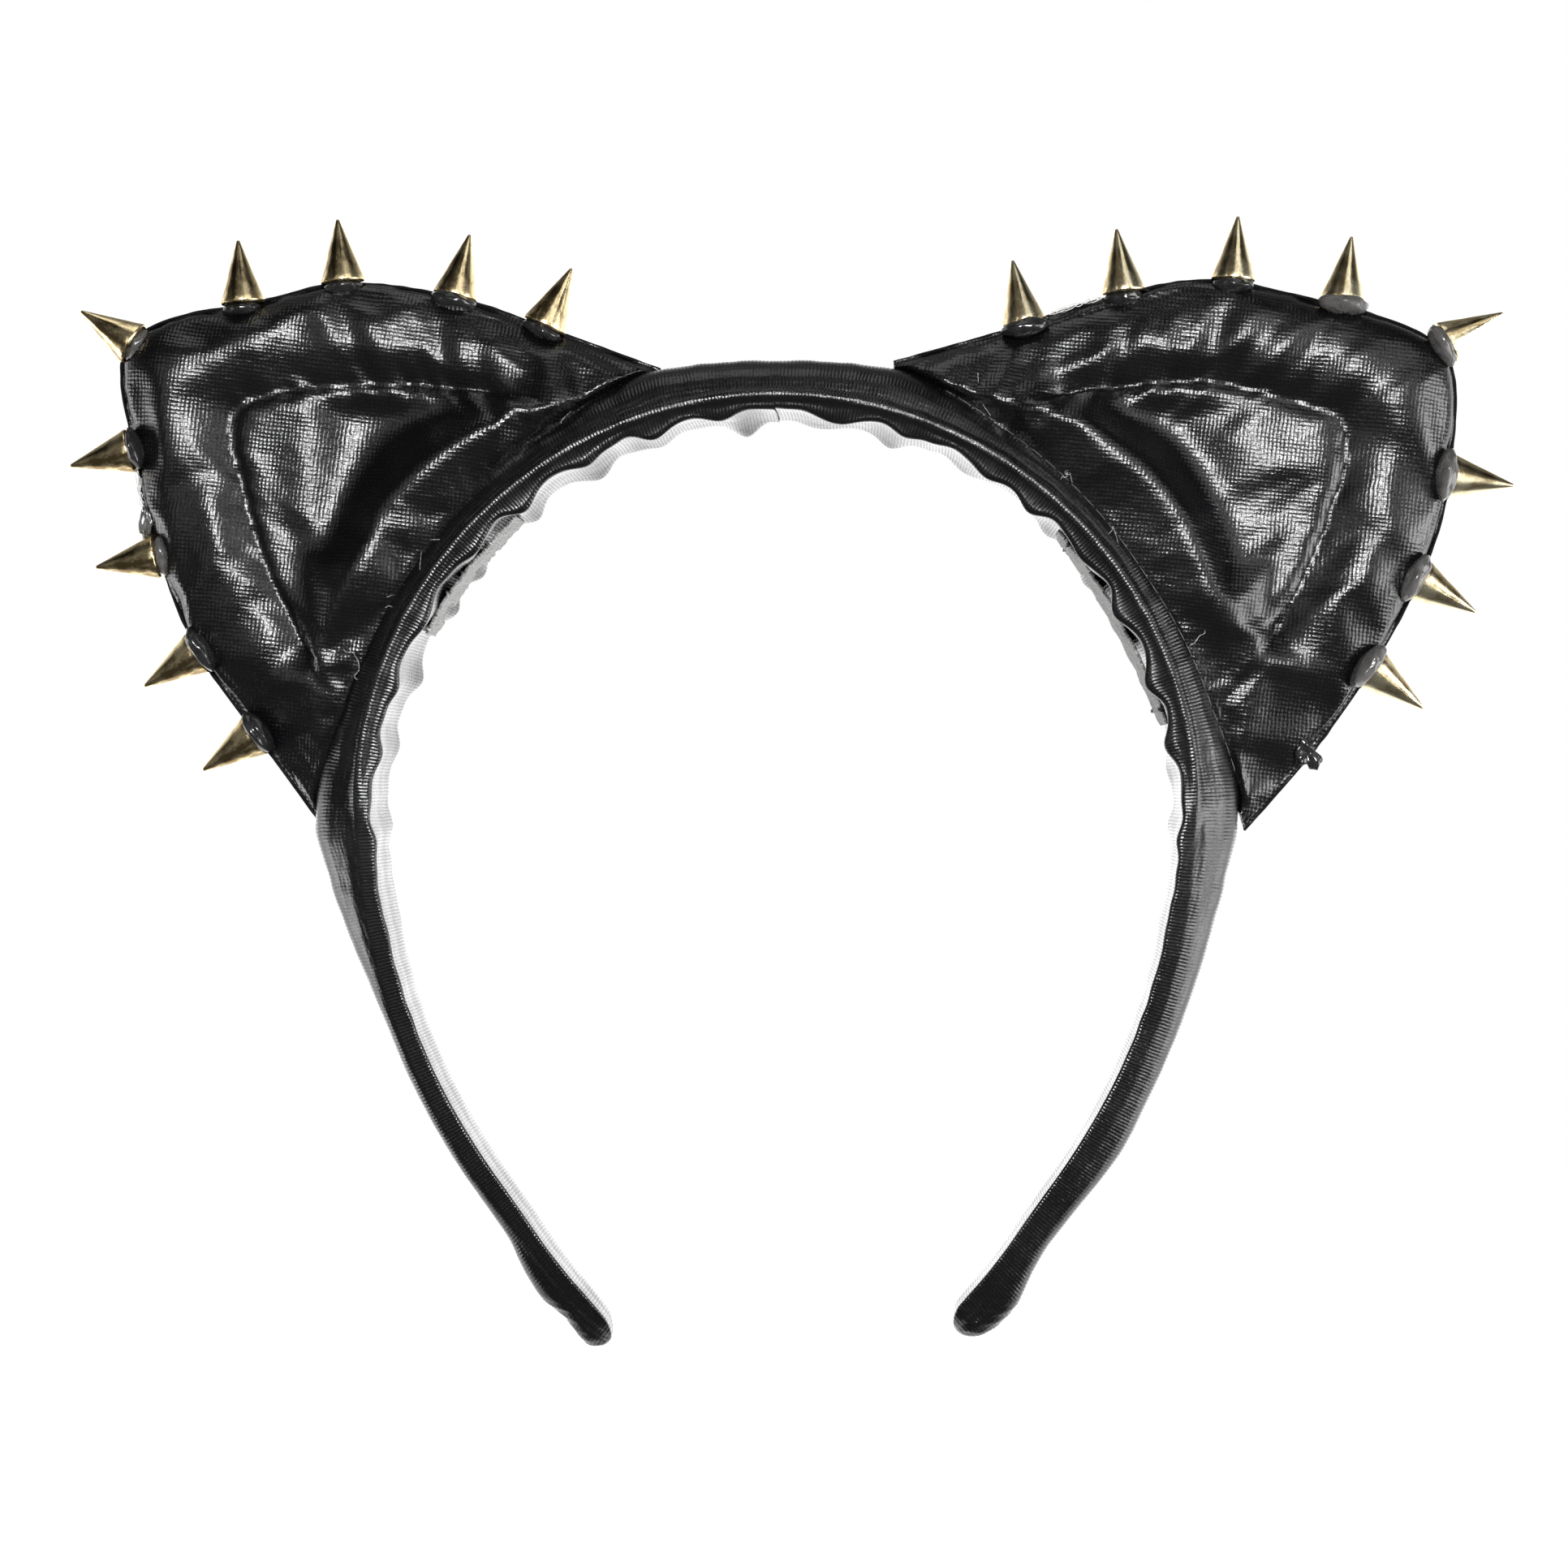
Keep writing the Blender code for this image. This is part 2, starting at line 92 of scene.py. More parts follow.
# The tips lean outwards from the strip's arc, starting here, and would reach this far out here.
TIP_LEAN = (164.0, 196.0, 2.9)

# Each ear's free edge from the crown end round to the lower corner: (distance from the middle, z).
EAR_EDGE = {
    "left": [
        (18.1, 6.9), (33.0, 12.4), (50.0, 18.2), (67.0, 20.5), (81.5, 17.6), (94.6, 15.1), (101.2, 11.0),
        (102.3, 4.5), (100.0, -6.5), (97.9, -17.5), (91.0, -35.5), (80.2, -51.0), (71.0, -63.5),
    ],
    "right": [
        (18.1, 7.9), (34.7, 12.5), (50.8, 17.6), (66.6, 20.3), (82.5, 17.3), (95.5, 13.6), (102.2, 9.6),
        (104.4, 4.0), (104.0, -5.5), (101.6, -19.2), (93.8, -35.9), (83.3, -51.5), (72.1, -64.5),
    ],
}
# The quilting stitches, two sides of a triangle, in the same plane.
QUILTING = {
    "left": [
        (36.0, 1.0), (48.9, 3.6), (61.6, 4.4), (72.0, 3.8), (80.0, 2.4), (83.9, 0.2),
        (83.6, -6.4), (81.0, -17.2), (77.6, -26.7), (74.3, -32.7), (70.9, -39.6),
    ],
    "right": [
        (38.0, 0.9), (50.8, 3.2), (60.8, 4.2), (70.0, 3.7), (79.0, 1.2), (86.0, -1.6),
        (87.0, -7.8), (85.6, -13.2), (83.5, -19.2), (80.9, -25.3), (77.5, -32.1), (74.5, -37.5),
    ],
}
# The fold that closes the triangle, along the band.
ARC_FOLD = [
    (37.0, 0.6), (45.0, -2.4), (51.0, -5.6), (56.0, -9.4), (60.6, -14.4),
    (64.0, -20.0), (66.6, -26.0), (68.8, -32.0), (70.2, -39.5),
]
FOLD_START = [(21.0, 4.6), (29.0, 3.2)]
FOLD_END = [(70.8, -48.0), (70.6, -58.0)]
# How far the fold lies from that line, inwards and down alike.
FOLD_SHIFT = {"left": 1.05, "right": 0.21}
# How wide the flat panel beside the side stitches is at its top.
PLATEAU = {"left": 10.0, "right": 8.0}
# Where the hollow between panel and fold is deepest (1 is half way, more is nearer the fold).
HOLLOW_SKEW = {"left": 0.9, "right": 1.9}
# The puckered part of the rim, from and to these distances along the free edge.
PUCKERED = {"left": (14.0, 58.0), "right": (12.0, 92.0)}
# The seam of ear to band: (distance along the band, distance from the mid-plane).
SEAM = [
    (16.5, 0.2), (21.0, 2.8), (27.0, 4.3), (34.0, 5.3), (41.0, 6.1), (49.0, 6.7),
    (61.0, 7.1), (69.0, 6.9), (80.0, 5.9), (88.0, 4.4), (94.0, 2.7), (99.6, 0.2),
]


# Curves and fields, on numpy arrays.


def smooth_through(points, samples):
    """A Catmull-Rom curve through the points, as an array of rows."""
    p = np.array(points, float)
    p = np.vstack([2 * p[0] - p[1], p, 2 * p[-1] - p[-2]])
    t = (np.arange(samples) / samples)[:, None]
    runs = []
    for a, b, c, d in zip(p, p[1:], p[2:], p[3:]):
        run = 2 * b + (c - a) * t + (2 * a - 5 * b + 4 * c - d) * t**2 + (3 * b - a - 3 * c + d) * t**3
        runs.append(run / 2)
    return np.vstack([*runs, p[-2:-1]])


def lengths_of(curve):
    steps = np.linalg.norm(np.diff(curve, axis=0), axis=1)
    return np.concatenate([[0.0], np.cumsum(steps)])


def resample(curve, places):
    """The curve's points at these distances along it."""
    far = lengths_of(curve)
    return np.stack([np.interp(places, far, column) for column in curve.T], axis=1)


def evenly(curve, count):
    return resample(curve, np.linspace(0, lengths_of(curve)[-1], count))


def edge_line(side, count):
    return evenly(smooth_through(EAR_EDGE[side], 16), count)


def quilting_line(side, count=90):
    return evenly(smooth_through(QUILTING[side], 8), count)


def seam_line(count):
    return evenly(smooth_through(SEAM, 16), count)


def nearest_on(x, z, line):
    """For each point: its distance from the line, how far along the line that is, and a sign that
    is positive to the right of the line's direction."""
    best = np.full(x.shape, 1e9)
    place = np.zeros(x.shape)
    sign = np.ones(x.shape)
    far = lengths_of(line)
    for i, (a, b) in enumerate(zip(line, line[1:])):
        step = b - a
        length = max(np.hypot(*step), 1e-9)
        t = np.clip(((x - a[0]) * step[0] + (z - a[1]) * step[1]) / length**2, 0, 1)
        dx, dz = x - a[0] - t * step[0], z - a[1] - t * step[1]
        distance = np.hypot(dx, dz)
        closer = distance < best
        best = np.where(closer, distance, best)
        place = np.where(closer, far[i] + t * length, place)
        sign = np.where(closer, np.sign(step[1] * dx - step[0] * dz), sign)
    return best, place, sign


def smoothstep(value, low, high):
    t = np.clip((value - low) / (high - low), 0, 1)
    return t * t * (3 - 2 * t)


def ripples(u, wavelength, seed, waves=5):
    """Smooth one-dimensional noise between about -1 and 1."""
    rng = np.random.default_rng(seed)
    total = np.zeros(np.shape(u))
    for _ in range(waves):
        size = wavelength * rng.uniform(0.6, 1.7)
        total = total + np.sin(2 * math.pi * u / size + rng.uniform(0, 6.3))
    return total / math.sqrt(waves)


def dunes(u, v, wavelength, seed, waves=7):
    """Smooth two-dimensional noise between about -1 and 1."""
    rng = np.random.default_rng(seed)
    total = np.zeros(np.shape(u))
    for _ in range(waves):
        turn, size = rng.uniform(0, math.pi), wavelength * rng.uniform(0.6, 1.6)
        phase = (u * math.cos(turn) + v * math.sin(turn)) * 2 * math.pi / size
        total = total + np.sin(phase + rng.uniform(0, 6.3))
    return total / math.sqrt(waves)


def band_place(s, y, r, sign):
    """Points of the band: s along the strip, y across it and r outwards."""
    s, y, r = np.broadcast_arrays(np.asarray(s, float), y, r)
    r = r + TIP_LEAN[2] * smoothstep(s, TIP_LEAN[0], TIP_LEAN[1])
    on_leg = s > QUARTER
    angle = np.where(on_leg, math.pi / 2 + (s - QUARTER) / LEG_RADIUS, s / CROWN_RADIUS)
    radius = np.where(on_leg, LEG_RADIUS, CROWN_RADIUS) + r
    centre = np.where(on_leg, CROWN_RADIUS - LEG_RADIUS, 0.0)
    x = sign * (centre + radius * np.sin(angle))
    return np.stack([x, y, CROWN_CENTRE_Z + radius * np.cos(angle)], axis=-1)


# Meshes.


def new_object(name, data):
    obj = bpy.data.objects.new(name, data)
    bpy.context.scene.collection.objects.link(obj)
    return obj


def put_mesh(name, points, faces, material, smooth=True, weave=None):
    """A new object from points in millimetres, with its weave coordinates if it is cloth."""
    mesh = bpy.data.meshes.new(name)
    mesh.from_pydata((np.asarray(points, float).reshape(-1, 3) * MM).tolist(), [], faces)
    mesh.validate()
    mesh.materials.append(material)
    if weave is not None:
        cloth = np.zeros((len(mesh.vertices), 3), np.float32)
        cloth[:, :2] = np.asarray(weave).reshape(-1, 2)
        mesh.attributes.new("weave", "FLOAT_VECTOR", "POINT").data.foreach_set("vector", cloth.ravel())
    if smooth:
        mesh.shade_smooth()
    return new_object(name, mesh)


def grid_faces(rows, columns, wrap=False, flip=False):
    """Quads between a grid's points, which are numbered row by row."""
    faces = []
    for i in range(rows - 1):
        for j in range(columns if wrap else columns - 1):
            k = (j + 1) % columns
            face = (i * columns + j, i * columns + k, (i + 1) * columns + k, (i + 1) * columns + j)
            faces.append(face[::-1] if flip else face)
    return faces


def tube_through(path, radius, sides):
    """Points and faces of a round tube on a path; radius is a number or one for each point."""
    path = np.asarray(path, float)
    radius = np.broadcast_to(radius, (len(path),))
    along = np.gradient(path, axis=0)
    along /= np.linalg.norm(along, axis=1)[:, None] + 1e-9
    up = np.array([0.0, 1.0, 0.0])
    across = np.cross(along, up)
    across /= np.linalg.norm(across, axis=1)[:, None] + 1e-9
    other = np.cross(across, along)
    turns = np.arange(sides) * 2 * math.pi / sides
    round_it = across[:, None] * np.cos(turns)[:, None] + other[:, None] * np.sin(turns)[:, None]
    rings = path[:, None] + round_it * radius[:, None, None]
    faces = grid_faces(len(path), sides, wrap=True, flip=True)
    faces.append(tuple(range(sides)))
    faces.append(tuple(reversed(range((len(path) - 1) * sides, len(path) * sides))))
    return rings.reshape(-1, 3), faces


def join_pieces(parts):
    """One list of points and faces from several."""
    points, faces = [], []
    total = 0
    for some_points, some_faces in parts:
        points.append(np.asarray(some_points).reshape(-1, 3))
        faces += [tuple(i + total for i in face) for face in some_faces]
        total += len(points[-1])
    return np.vstack(points), faces


# Materials.


class Nodes:
    """A short way to write the nodes of a material or a world."""

    def __init__(self, owner):
        self.owner = owner
        owner.use_nodes = True
        self.tree = owner.node_tree

    def add(self, kind, **settings):
        node = self.tree.nodes.new(kind)
        for key, value in settings.items():
            setattr(node, key, value)
        return node

    def link(self, value, socket):
        if isinstance(value, bpy.types.NodeSocket):
            self.tree.links.new(value, socket)
        else:
            socket.default_value = value

    def maths(self, operation, *values):
        node = self.add("ShaderNodeMath", operation=operation)
        for value, socket in zip(values, node.inputs):
            self.link(value, socket)
        return node.outputs[0]

    def place(self):
        """Each point's place in its object's own frame, in metres."""
        return self.add("ShaderNodeTexCoord").outputs["Object"]

    def weave(self):
        """Each point's place on the flat cloth, in millimetres."""
        return self.add("ShaderNodeAttribute", attribute_name="weave").outputs["Vector"]

    def noise(self, vector, scale, detail=2.0, roughness=0.5):
        node = self.add("ShaderNodeTexNoise")
        self.link(vector, node.inputs["Vector"])
        node.inputs["Scale"].default_value = scale
        node.inputs["Detail"].default_value = detail
        node.inputs["Roughness"].default_value = roughness
        return node.outputs[0]

    def scaled(self, vector, factors, turn=0.0):
        node = self.add("ShaderNodeMapping")
        self.link(vector, node.inputs["Vector"])
        node.inputs["Scale"].default_value = factors
        node.inputs["Rotation"].default_value = (0.0, 0.0, turn)
        return node.outputs[0]

    def remap(self, value, low, high, to_low, to_high, ease="LINEAR"):
        node = self.add("ShaderNodeMapRange", interpolation_type=ease)
        self.link(value, node.inputs["Value"])
        for key, level in zip(("From Min", "From Max", "To Min", "To Max"), (low, high, to_low, to_high)):
            node.inputs[key].default_value = level
        return node.outputs[0]

    def colours(self, value, *stops):
        node = self.add("ShaderNodeValToRGB")
        self.link(value, node.inputs[0])
        ramp = node.color_ramp
        while len(ramp.elements) < len(stops):
            ramp.elements.new(0.5)
        for element, (place, colour) in zip(ramp.elements, stops):
            element.position = place
            element.color = (*colour, 1.0)
        return node.outputs[0]

    def bump(self, height, distance, before=None):
        node = self.add("ShaderNodeBump")
        self.link(height, node.inputs["Height"])
        node.inputs["Distance"].default_value = distance
        node.inputs["Strength"].default_value = 1.0
        if before is not None:
            self.link(before, node.inputs["Normal"])
        return node.outputs[0]

    def finish(self, **sockets):
        shader = self.tree.nodes["Principled BSDF"]
        for key, value in sockets.items():
            self.link(value, shader.inputs[key.replace("_", " ")])
        return self.owner


KNIT_DEPTH = 0.00004


def wet_knit(name, pitches, turn, rib, gloss):
    """Black stretch knit with a wet look: glossy yarn loops in a grid, with gaps between them that are
    painted darker as painted shade. Its pitches are in millimetres; rib is the rows' share of the relief,
    and gloss its roughness."""
    n = Nodes(bpy.data.materials.new(name))
    cloth = n.weave()
    wander = n.noise(cloth, 0.35, 2.0)
    loops = n.scaled(cloth, (2 * math.pi / pitches[0], 2 * math.pi / pitches[1], 1.0), turn)
    split = n.add("ShaderNodeSeparateXYZ")
    n.link(loops, split.inputs[0])
    row = n.maths("SINE", n.maths("ADD", split.outputs[0], n.maths("MULTIPLY", wander, 5.0)))
    column = n.maths("SINE", n.maths("ADD", split.outputs[1], n.maths("MULTIPLY", wander, 3.0)))
    waves = n.maths("ADD", n.maths("MULTIPLY", row, rib), n.maths("MULTIPLY", column, 0.5 - rib))
    grid = n.maths("ADD", waves, 0.5)
    yarn = n.noise(cloth, 2.6, 3.0, 0.6)
    height = n.maths("MULTIPLY", grid, n.remap(yarn, 0.3, 0.7, 0.55, 1.25))
    weave = n.bump(height, KNIT_DEPTH)
    creases = n.bump(n.noise(n.scaled(cloth, (0.5, 0.9, 1.0)), 0.8, 4.0, 0.55), 0.00012, weave)
    patches = n.noise(cloth, 0.12, 3.0, 0.6)
    in_gaps = n.remap(height, 0.2, 0.6, 0.14, 0.0)
    return n.finish(
        # Painted shade: the colour is darker in the gaps between the loops than on their tops.
        Base_Color=n.colours(height, (0.2, (0.0008, 0.0008, 0.001)), (0.9, (0.0032, 0.0032, 0.0038))),
        Roughness=n.maths("ADD", n.remap(patches, 0.3, 0.7, *gloss), in_gaps),
        IOR=1.5,
        Specular_IOR_Level=0.6,
        Normal=creases,
    )


def raw_knit(name):
    """The fabric's unglazed wrong side: grey and speckled."""
    n = Nodes(bpy.data.materials.new(name))
    cloth = n.weave()
    speckle = n.noise(cloth, 3.2, 4.0, 0.7)
    fuzz = n.noise(cloth, 1.1, 5.0, 0.7)
    return n.finish(
        Base_Color=n.colours(
            speckle, (0.36, (0.02, 0.02, 0.022)), (0.52, (0.2, 0.2, 0.195)), (0.68, (0.6, 0.6, 0.58))
        ),
        Roughness=n.remap(fuzz, 0.3, 0.7, 0.75, 0.95),
        Sheen_Weight=0.3,
        Normal=n.bump(speckle, 0.00015, n.bump(fuzz, 0.0003)),
    )


def twisted_thread(name, colour, rough, specular=0.5):
    """Sewing thread, with the twist of its plies as a fine bump."""
    n = Nodes(bpy.data.materials.new(name))
    place = n.place()
    plies = n.noise(place, 4200.0, 2.0)
    tone = n.noise(place, 300.0, 2.0)
    low = tuple(0.6 * part for part in colour)
    return n.finish(
        Base_Color=n.colours(tone, (0.3, low), (0.7, colour)),
        Roughness=n.remap(plies, 0.3, 0.7, rough, rough + 0.2),
        Specular_IOR_Level=specular,
        Normal=n.bump(plies, 0.00006),
    )


def antique_brass(name, light, dark):
    """Plated cones, polished lengthwise: fine lengthwise lines as a bump, also painted into the colour as
    painted reflections, with random stains in colour and gloss.
    """
    n = Nodes(bpy.data.materials.new(name))
    place = n.place()
    polish_lines_and_painted_reflections = n.noise(n.scaled(place, (900.0, 900.0, 70.0)), 1.0, 4.0, 0.6)
    stains = n.noise(place, 240.0, 4.0, 0.6)
    pits = n.noise(place, 2600.0, 2.0)
    mixed = n.maths("ADD", n.maths("MULTIPLY", polish_lines_and_painted_reflections, 0.6), n.maths("MULTIPLY", stains, 0.4))
    return n.finish(
        # Painted reflection: the lengthwise lines are painted light and dark into the colour.
        Base_Color=n.colours(mixed, (0.43, dark), (0.53, light)),
        Metallic=1.0,
        Roughness=n.remap(stains, 0.3, 0.7, 0.16, 0.3),
        Normal=n.bump(pits, 0.000006, n.bump(polish_lines_and_painted_reflections, 0.00003)),
    )


def hot_glue(name, colour, clarity, rough):
    """Hot-melt glue: translucent, with bubbles and a soft uneven gloss."""
    n = Nodes(bpy.data.materials.new(name))
    place = n.place()
    clouds = n.noise(place, 420.0, 4.0, 0.6)
    skin = n.noise(place, 900.0, 3.0, 0.5)
    low = tuple(0.55 * part for part in colour)
    return n.finish(
        Base_Color=n.colours(clouds, (0.3, low), (0.7, colour)),
        Roughness=n.remap(skin, 0.3, 0.7, rough, rough + 0.15),
        IOR=1.48,
        Transmission_Weight=clarity,
        Normal=n.bump(skin, 0.00002),
    )


def moulded_plastic(name):
    """The springy strip inside the sleeve."""
    n = Nodes(bpy.data.materials.new(name))
    place = n.place()
    grain = n.noise(place, 1500.0, 3.0)
    flow = n.noise(place, 60.0, 2.0)
    return n.finish(
        Base_Color=n.colours(flow, (0.3, (0.5, 0.5, 0.47)), (0.7, (0.62, 0.62, 0.6))),
        Roughness=n.remap(grain, 0.3, 0.7, 0.4, 0.55),
        Normal=n.bump(grain, 0.00003),
    )


# The sleeve over the band.


def band_sizes(s, side):
    """Half width, outer and inner face at each s, with the profile's corners smoothed out."""
    fine = np.arange(-12.0, HALF_LENGTH + 12.0, 0.25)
    kernel = np.exp(-((np.arange(-16, 17) * 0.25 / 1.8) ** 2))
    kernel /= kernel.sum()
    sizes = []
    for column in (1, 2 if side == "left" else 3, 4):
        line = np.interp(np.abs(fine), BAND_PROFILE[:, 0], BAND_PROFILE[:, column])
        sizes.append(np.interp(s, fine, np.convolve(line, kernel, mode="same")))
    return sizes


# How far the foam stops short of the sleeve's sides, and the height of the strip's edge under the
# fabric at the foam's foot on the crown and on the legs.
FOAM_MARGIN = 1.9
SHOULDER = 1.3
RIDGE = 0.9


def crown_ring(half, top, bottom):
    """Half of the sleeve's section, from the top's middle down its front to the underside's middle:
    the foam's dome, the strip's edge as a ridge, the tucked lip and the underside."""
    foam = max(half - FOAM_MARGIN, 0.6 * half)
    shoulder = min(SHOULDER, 0.4 * top)
    rise = top - shoulder
    edge = min(0.3, 0.1 * top)
    return np.array([
        (0.0, top),
        (0.36 * foam, shoulder + 0.95 * rise),
        (0.66 * foam, shoulder + 0.78 * rise),
        (0.88 * foam, shoulder + 0.48 * rise),
        (0.98 * foam, shoulder + 0.15 * rise),
        (foam + 0.12 * (half - foam), shoulder - 0.25),
        (foam + 0.5 * (half - foam), edge + 0.95),
        (half - 0.24, edge + 0.6),
        (half, edge - 0.1),
        (half - 0.18, edge - 0.8),
        (half - 0.62, 0.45 * bottom - 0.2),
        (half - 0.5, 0.72 * bottom - 0.2),
        (half - 0.75, bottom - 0.1),
        (half - 1.6, bottom - 0.25),
        (0.45 * half, bottom - 0.1),
        (0.0, bottom),
    ])


def leg_ring(half, top, bottom):
    """The same on the legs, where the fabric lies flat: a sloping outer face, a fold along the
    ridge, a plain edge strip and the underside."""
    ridge = min(RIDGE, 0.45 * top)
    rise = top - ridge
    return np.array([
        (0.0, top),
        (0.22 * half, ridge + 0.97 * rise),
        (0.45 * half, ridge + 0.86 * rise),
        (0.62 * half, ridge + 0.66 * rise),
        (0.74 * half, ridge + 0.42 * rise),
        (half - 1.2, ridge + 0.14 * rise),
        (half - 0.9, ridge - 0.05),
        (half - 0.74, ridge - 0.35),
        (half - 0.5, 0.5 * ridge + 0.1 * bottom),
        (half - 0.22, 0.4 * bottom),
        (half, 0.8 * bottom),
        (half, bottom + 0.14),
        (half - 0.2, bottom),
        (half - 1.3, bottom - 0.05),
        (0.45 * half, bottom - 0.1),
        (0.0, bottom),
    ])


def sleeve_ring(s, half, top, bottom):
    share = float(smoothstep(s, 91.0, 105.0))
    return crown_ring(half, top, bottom) * (1 - share) + leg_ring(half, top, bottom) * share


def sleeve_top(s, y, side):
    """How far out the sleeve's upper face is at these places."""
    found = []
    for place, half, top, bottom, across in zip(s, *band_sizes(s, side), np.abs(y)):
        ring = smooth_through(sleeve_ring(place, half, top, bottom), 8)[:46]
        found.append(np.interp(across, ring[:, 0], ring[:, 1]))
    return np.array(found)


# The tucks' spacing, and how far down the band they go; then the sleeve's grid.
RUFFLE_SPACING = 12.6
RUFFLE_REACH = 118.0
STATION_STEP = 0.6
TIP_ROUNDING = 3.0
RING_POINTS = 50


def ruffle_lift(s, y, half, sign):
    """How far the gathered fabric stands off the underside: rounded tucks across the band."""
    rng = np.random.default_rng(11 if sign < 0 else 12)
    lift = np.zeros(np.broadcast(s, y).shape)
    centre = -4.0 if sign < 0 else 8.6
    while centre < RUFFLE_REACH + 20:
        size, width = rng.uniform(0.8, 1.2), rng.uniform(2.7, 3.9)
        skew, bias = rng.uniform(-0.25, 0.25), rng.uniform(-0.3, 0.3)
        across = 0.45 + 0.55 * np.abs(y / half) ** 1.5 + bias * y / half
        lift += size * across * np.exp(-(((s - centre - skew * y) / width) ** 2))
        centre += RUFFLE_SPACING * rng.uniform(0.85, 1.12)
    reach = 1.6 * (1 - smoothstep(s, 76.0, RUFFLE_REACH)) + 0.35 * (1 - smoothstep(s, 105.0, 135.0))
    small = 0.12 * ripples(s + 0.1 * y, 4.6, 21) * (1 - smoothstep(s, 110.0, 150.0))
    return lift * reach * 0.92 + small


def build_sleeve(side, sign, materials):
    """One half of the long tube of fabric, from the crown's middle to its tip."""
    end = SLEEVE_END[side]
    closing = end - TIP_ROUNDING + TIP_ROUNDING * np.sin(np.linspace(0, math.pi / 2, 12))
    stations = np.concatenate([np.arange(0.0, end - TIP_ROUNDING, STATION_STEP), closing])
    past = ((stations - end + TIP_ROUNDING) / (TIP_ROUNDING + 0.02)).clip(0)
    shrink = np.sqrt(np.clip(1 - past**2, 0, 1))
    half, top, bottom = band_sizes(stations, side)
    rows, cloth = [], []
    for s, w, t, b, k in zip(stations, half, top, bottom, shrink):
        ring = evenly(smooth_through(sleeve_ring(s, w, t, b), 8), RING_POINTS)
        middle = (t + b) / 2
        y = np.concatenate([-ring[:, 0], ring[-2:0:-1, 0]]) * k
        r = middle + (np.concatenate([ring[:, 1], ring[-2:0:-1, 1]]) - middle) * k
        around = np.concatenate([lengths_of(ring), lengths_of(ring)[-2:0:-1]])
        rows.append(np.stack([np.full(y.shape, s), y, r], axis=1))
        cloth.append(np.stack([np.full(y.shape, s), around], axis=1))
    grid, cloth = np.array(rows), np.array(cloth)
    s, y, r = grid[..., 0], grid[..., 1], grid[..., 2]
    under = smoothstep(-r, 0.75, 1.7) * shrink[:, None]
    r = r - under * ruffle_lift(s, y, half[:, None], sign)
    padded = 1 - 0.75 * smoothstep(s, 105.0, 125.0)
    puff = (0.08 * dunes(s, cloth[..., 1], 11.0, 31) + 0.03 * ripples(s + 0.3 * y, 3.4, 32)) * padded
    tip = smoothstep(s, 176.0, 188.0)
    creased = 0.12 * ripples(s * 1.3 + 1.1 * y + 0.8 * r, 2.0, 33) * tip
    y = y * (1 + (puff * 0.6 + creased * 0.5) / np.maximum(half[:, None], 1.0))
    r = r + (puff + creased) * smoothstep(r, 0.4, 1.4)
    points = band_place(s, y, r, sign)
    count = points.shape[1]
    faces = grid_faces(len(stations), count, wrap=True, flip=sign > 0)
    last = (len(stations) - 1) * count
    cap = tuple(range(last, last + count))
    faces.append(cap if sign < 0 else cap[::-1])
    sleeve = put_mesh(f"sleeve_fabric_{side}", points, faces, materials["band_knit"], weave=cloth)
    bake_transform(sleeve)
    return sleeve


# The ears.

EAR_COLUMNS = 301
EAR_ROWS = 76
# Each cover, in millimetres: how far it puffs up, how deep the stitches pull it, the hollow by the
# fold, the fold's rise, the dents along the rim and the puckers along the stitches; then the reach
# over which it meets the band, and its seed.
FRONT_COVER = dict(puff=6.5, pull=3.5, hollow=2.1, rise=3.5, dent=1.0, pucker=0.16, join=1.4, seed=0)
BACK_COVER = dict(puff=4.2, pull=1.5, hollow=0.8, rise=0.5, dent=0.4, pucker=0.1, join=6.0, seed=10)
# How far in from the edge the padding rises, how far from a stitch its pull reaches outside the
# triangle and within it, what share of the pull is left on the panel, and the fold's half width.
RIM_WIDTH = 11.5
PULL_OUTSIDE = 4.6
PULL_INSIDE = 0.9
PANEL_DROP = 0.66
FOLD_HALF_WIDTH = 4.6


def ear_plane(side):
    """The ear's grid in its own plane: rows from the free edge to the seam on the band, which lie
    closer together at both."""
    edge = edge_line(side, EAR_COLUMNS)
    seam = seam_line(EAR_COLUMNS)
    foot = band_place(seam[:, 0], seam[:, 1], sleeve_top(*seam.T, side) - 0.2, 1.0)
    share = 0.5 - 0.5 * np.cos(np.linspace(0, math.pi, EAR_ROWS))
    share = (share + np.linspace(0, 1, EAR_ROWS) * 0.7) / 1.7
    x = edge[None, :, 0] * (1 - share[:, None]) + foot[None, :, 0] * share[:, None]
    z = edge[None, :, 1] * (1 - share[:, None]) + foot[None, :, 2] * share[:, None]
    return x, z, edge, foot


def relaxed(h, freedom, rounds):
    """Heights averaged with their neighbours on the grid, as far as each is free to move."""
    for _ in range(rounds):
        padded = np.pad(h, 1, mode="edge")
        mean = (padded[:-2, 1:-1] + padded[2:, 1:-1] + padded[1:-1, :-2] + padded[1:-1, 2:]) / 4
        inner = np.zeros(h.shape)
        inner[1:-1, 1:-1] = 1
        h = h + (mean - h) * freedom * inner * 0.8
    return h


def dents(u, seed, spacing, start, end):
    """A row of soft dents at uneven places along a seam: 0 between them, 1 in the middle of each."""
    rng = np.random.default_rng(seed)
    total = np.zeros(np.shape(u))
    place = start
    while place < end:
        total = total + rng.uniform(0.4, 1.0) * np.exp(-(((u - place) / rng.uniform(1.5, 3.0)) ** 2))
        place += spacing * rng.uniform(0.6, 1.4)
    return total


def quilted_groove(to_stitch, beyond, inside, held):
    """How far the stitches pull the cover down, as a share: soft outside them, a flat panel inside."""
    outer = np.exp(-((to_stitch / PULL_OUTSIDE) ** 1.3))
    inner = PANEL_DROP + (1 - PANEL_DROP) * np.exp(-((to_stitch / PULL_INSIDE) ** 1.3))
    inner = inner * (1 - smoothstep(to_stitch, 4.0, 30.0)) * (1 - smoothstep(beyond, -9.0, 0.0))
    return np.where(inside, inner, outer) * held


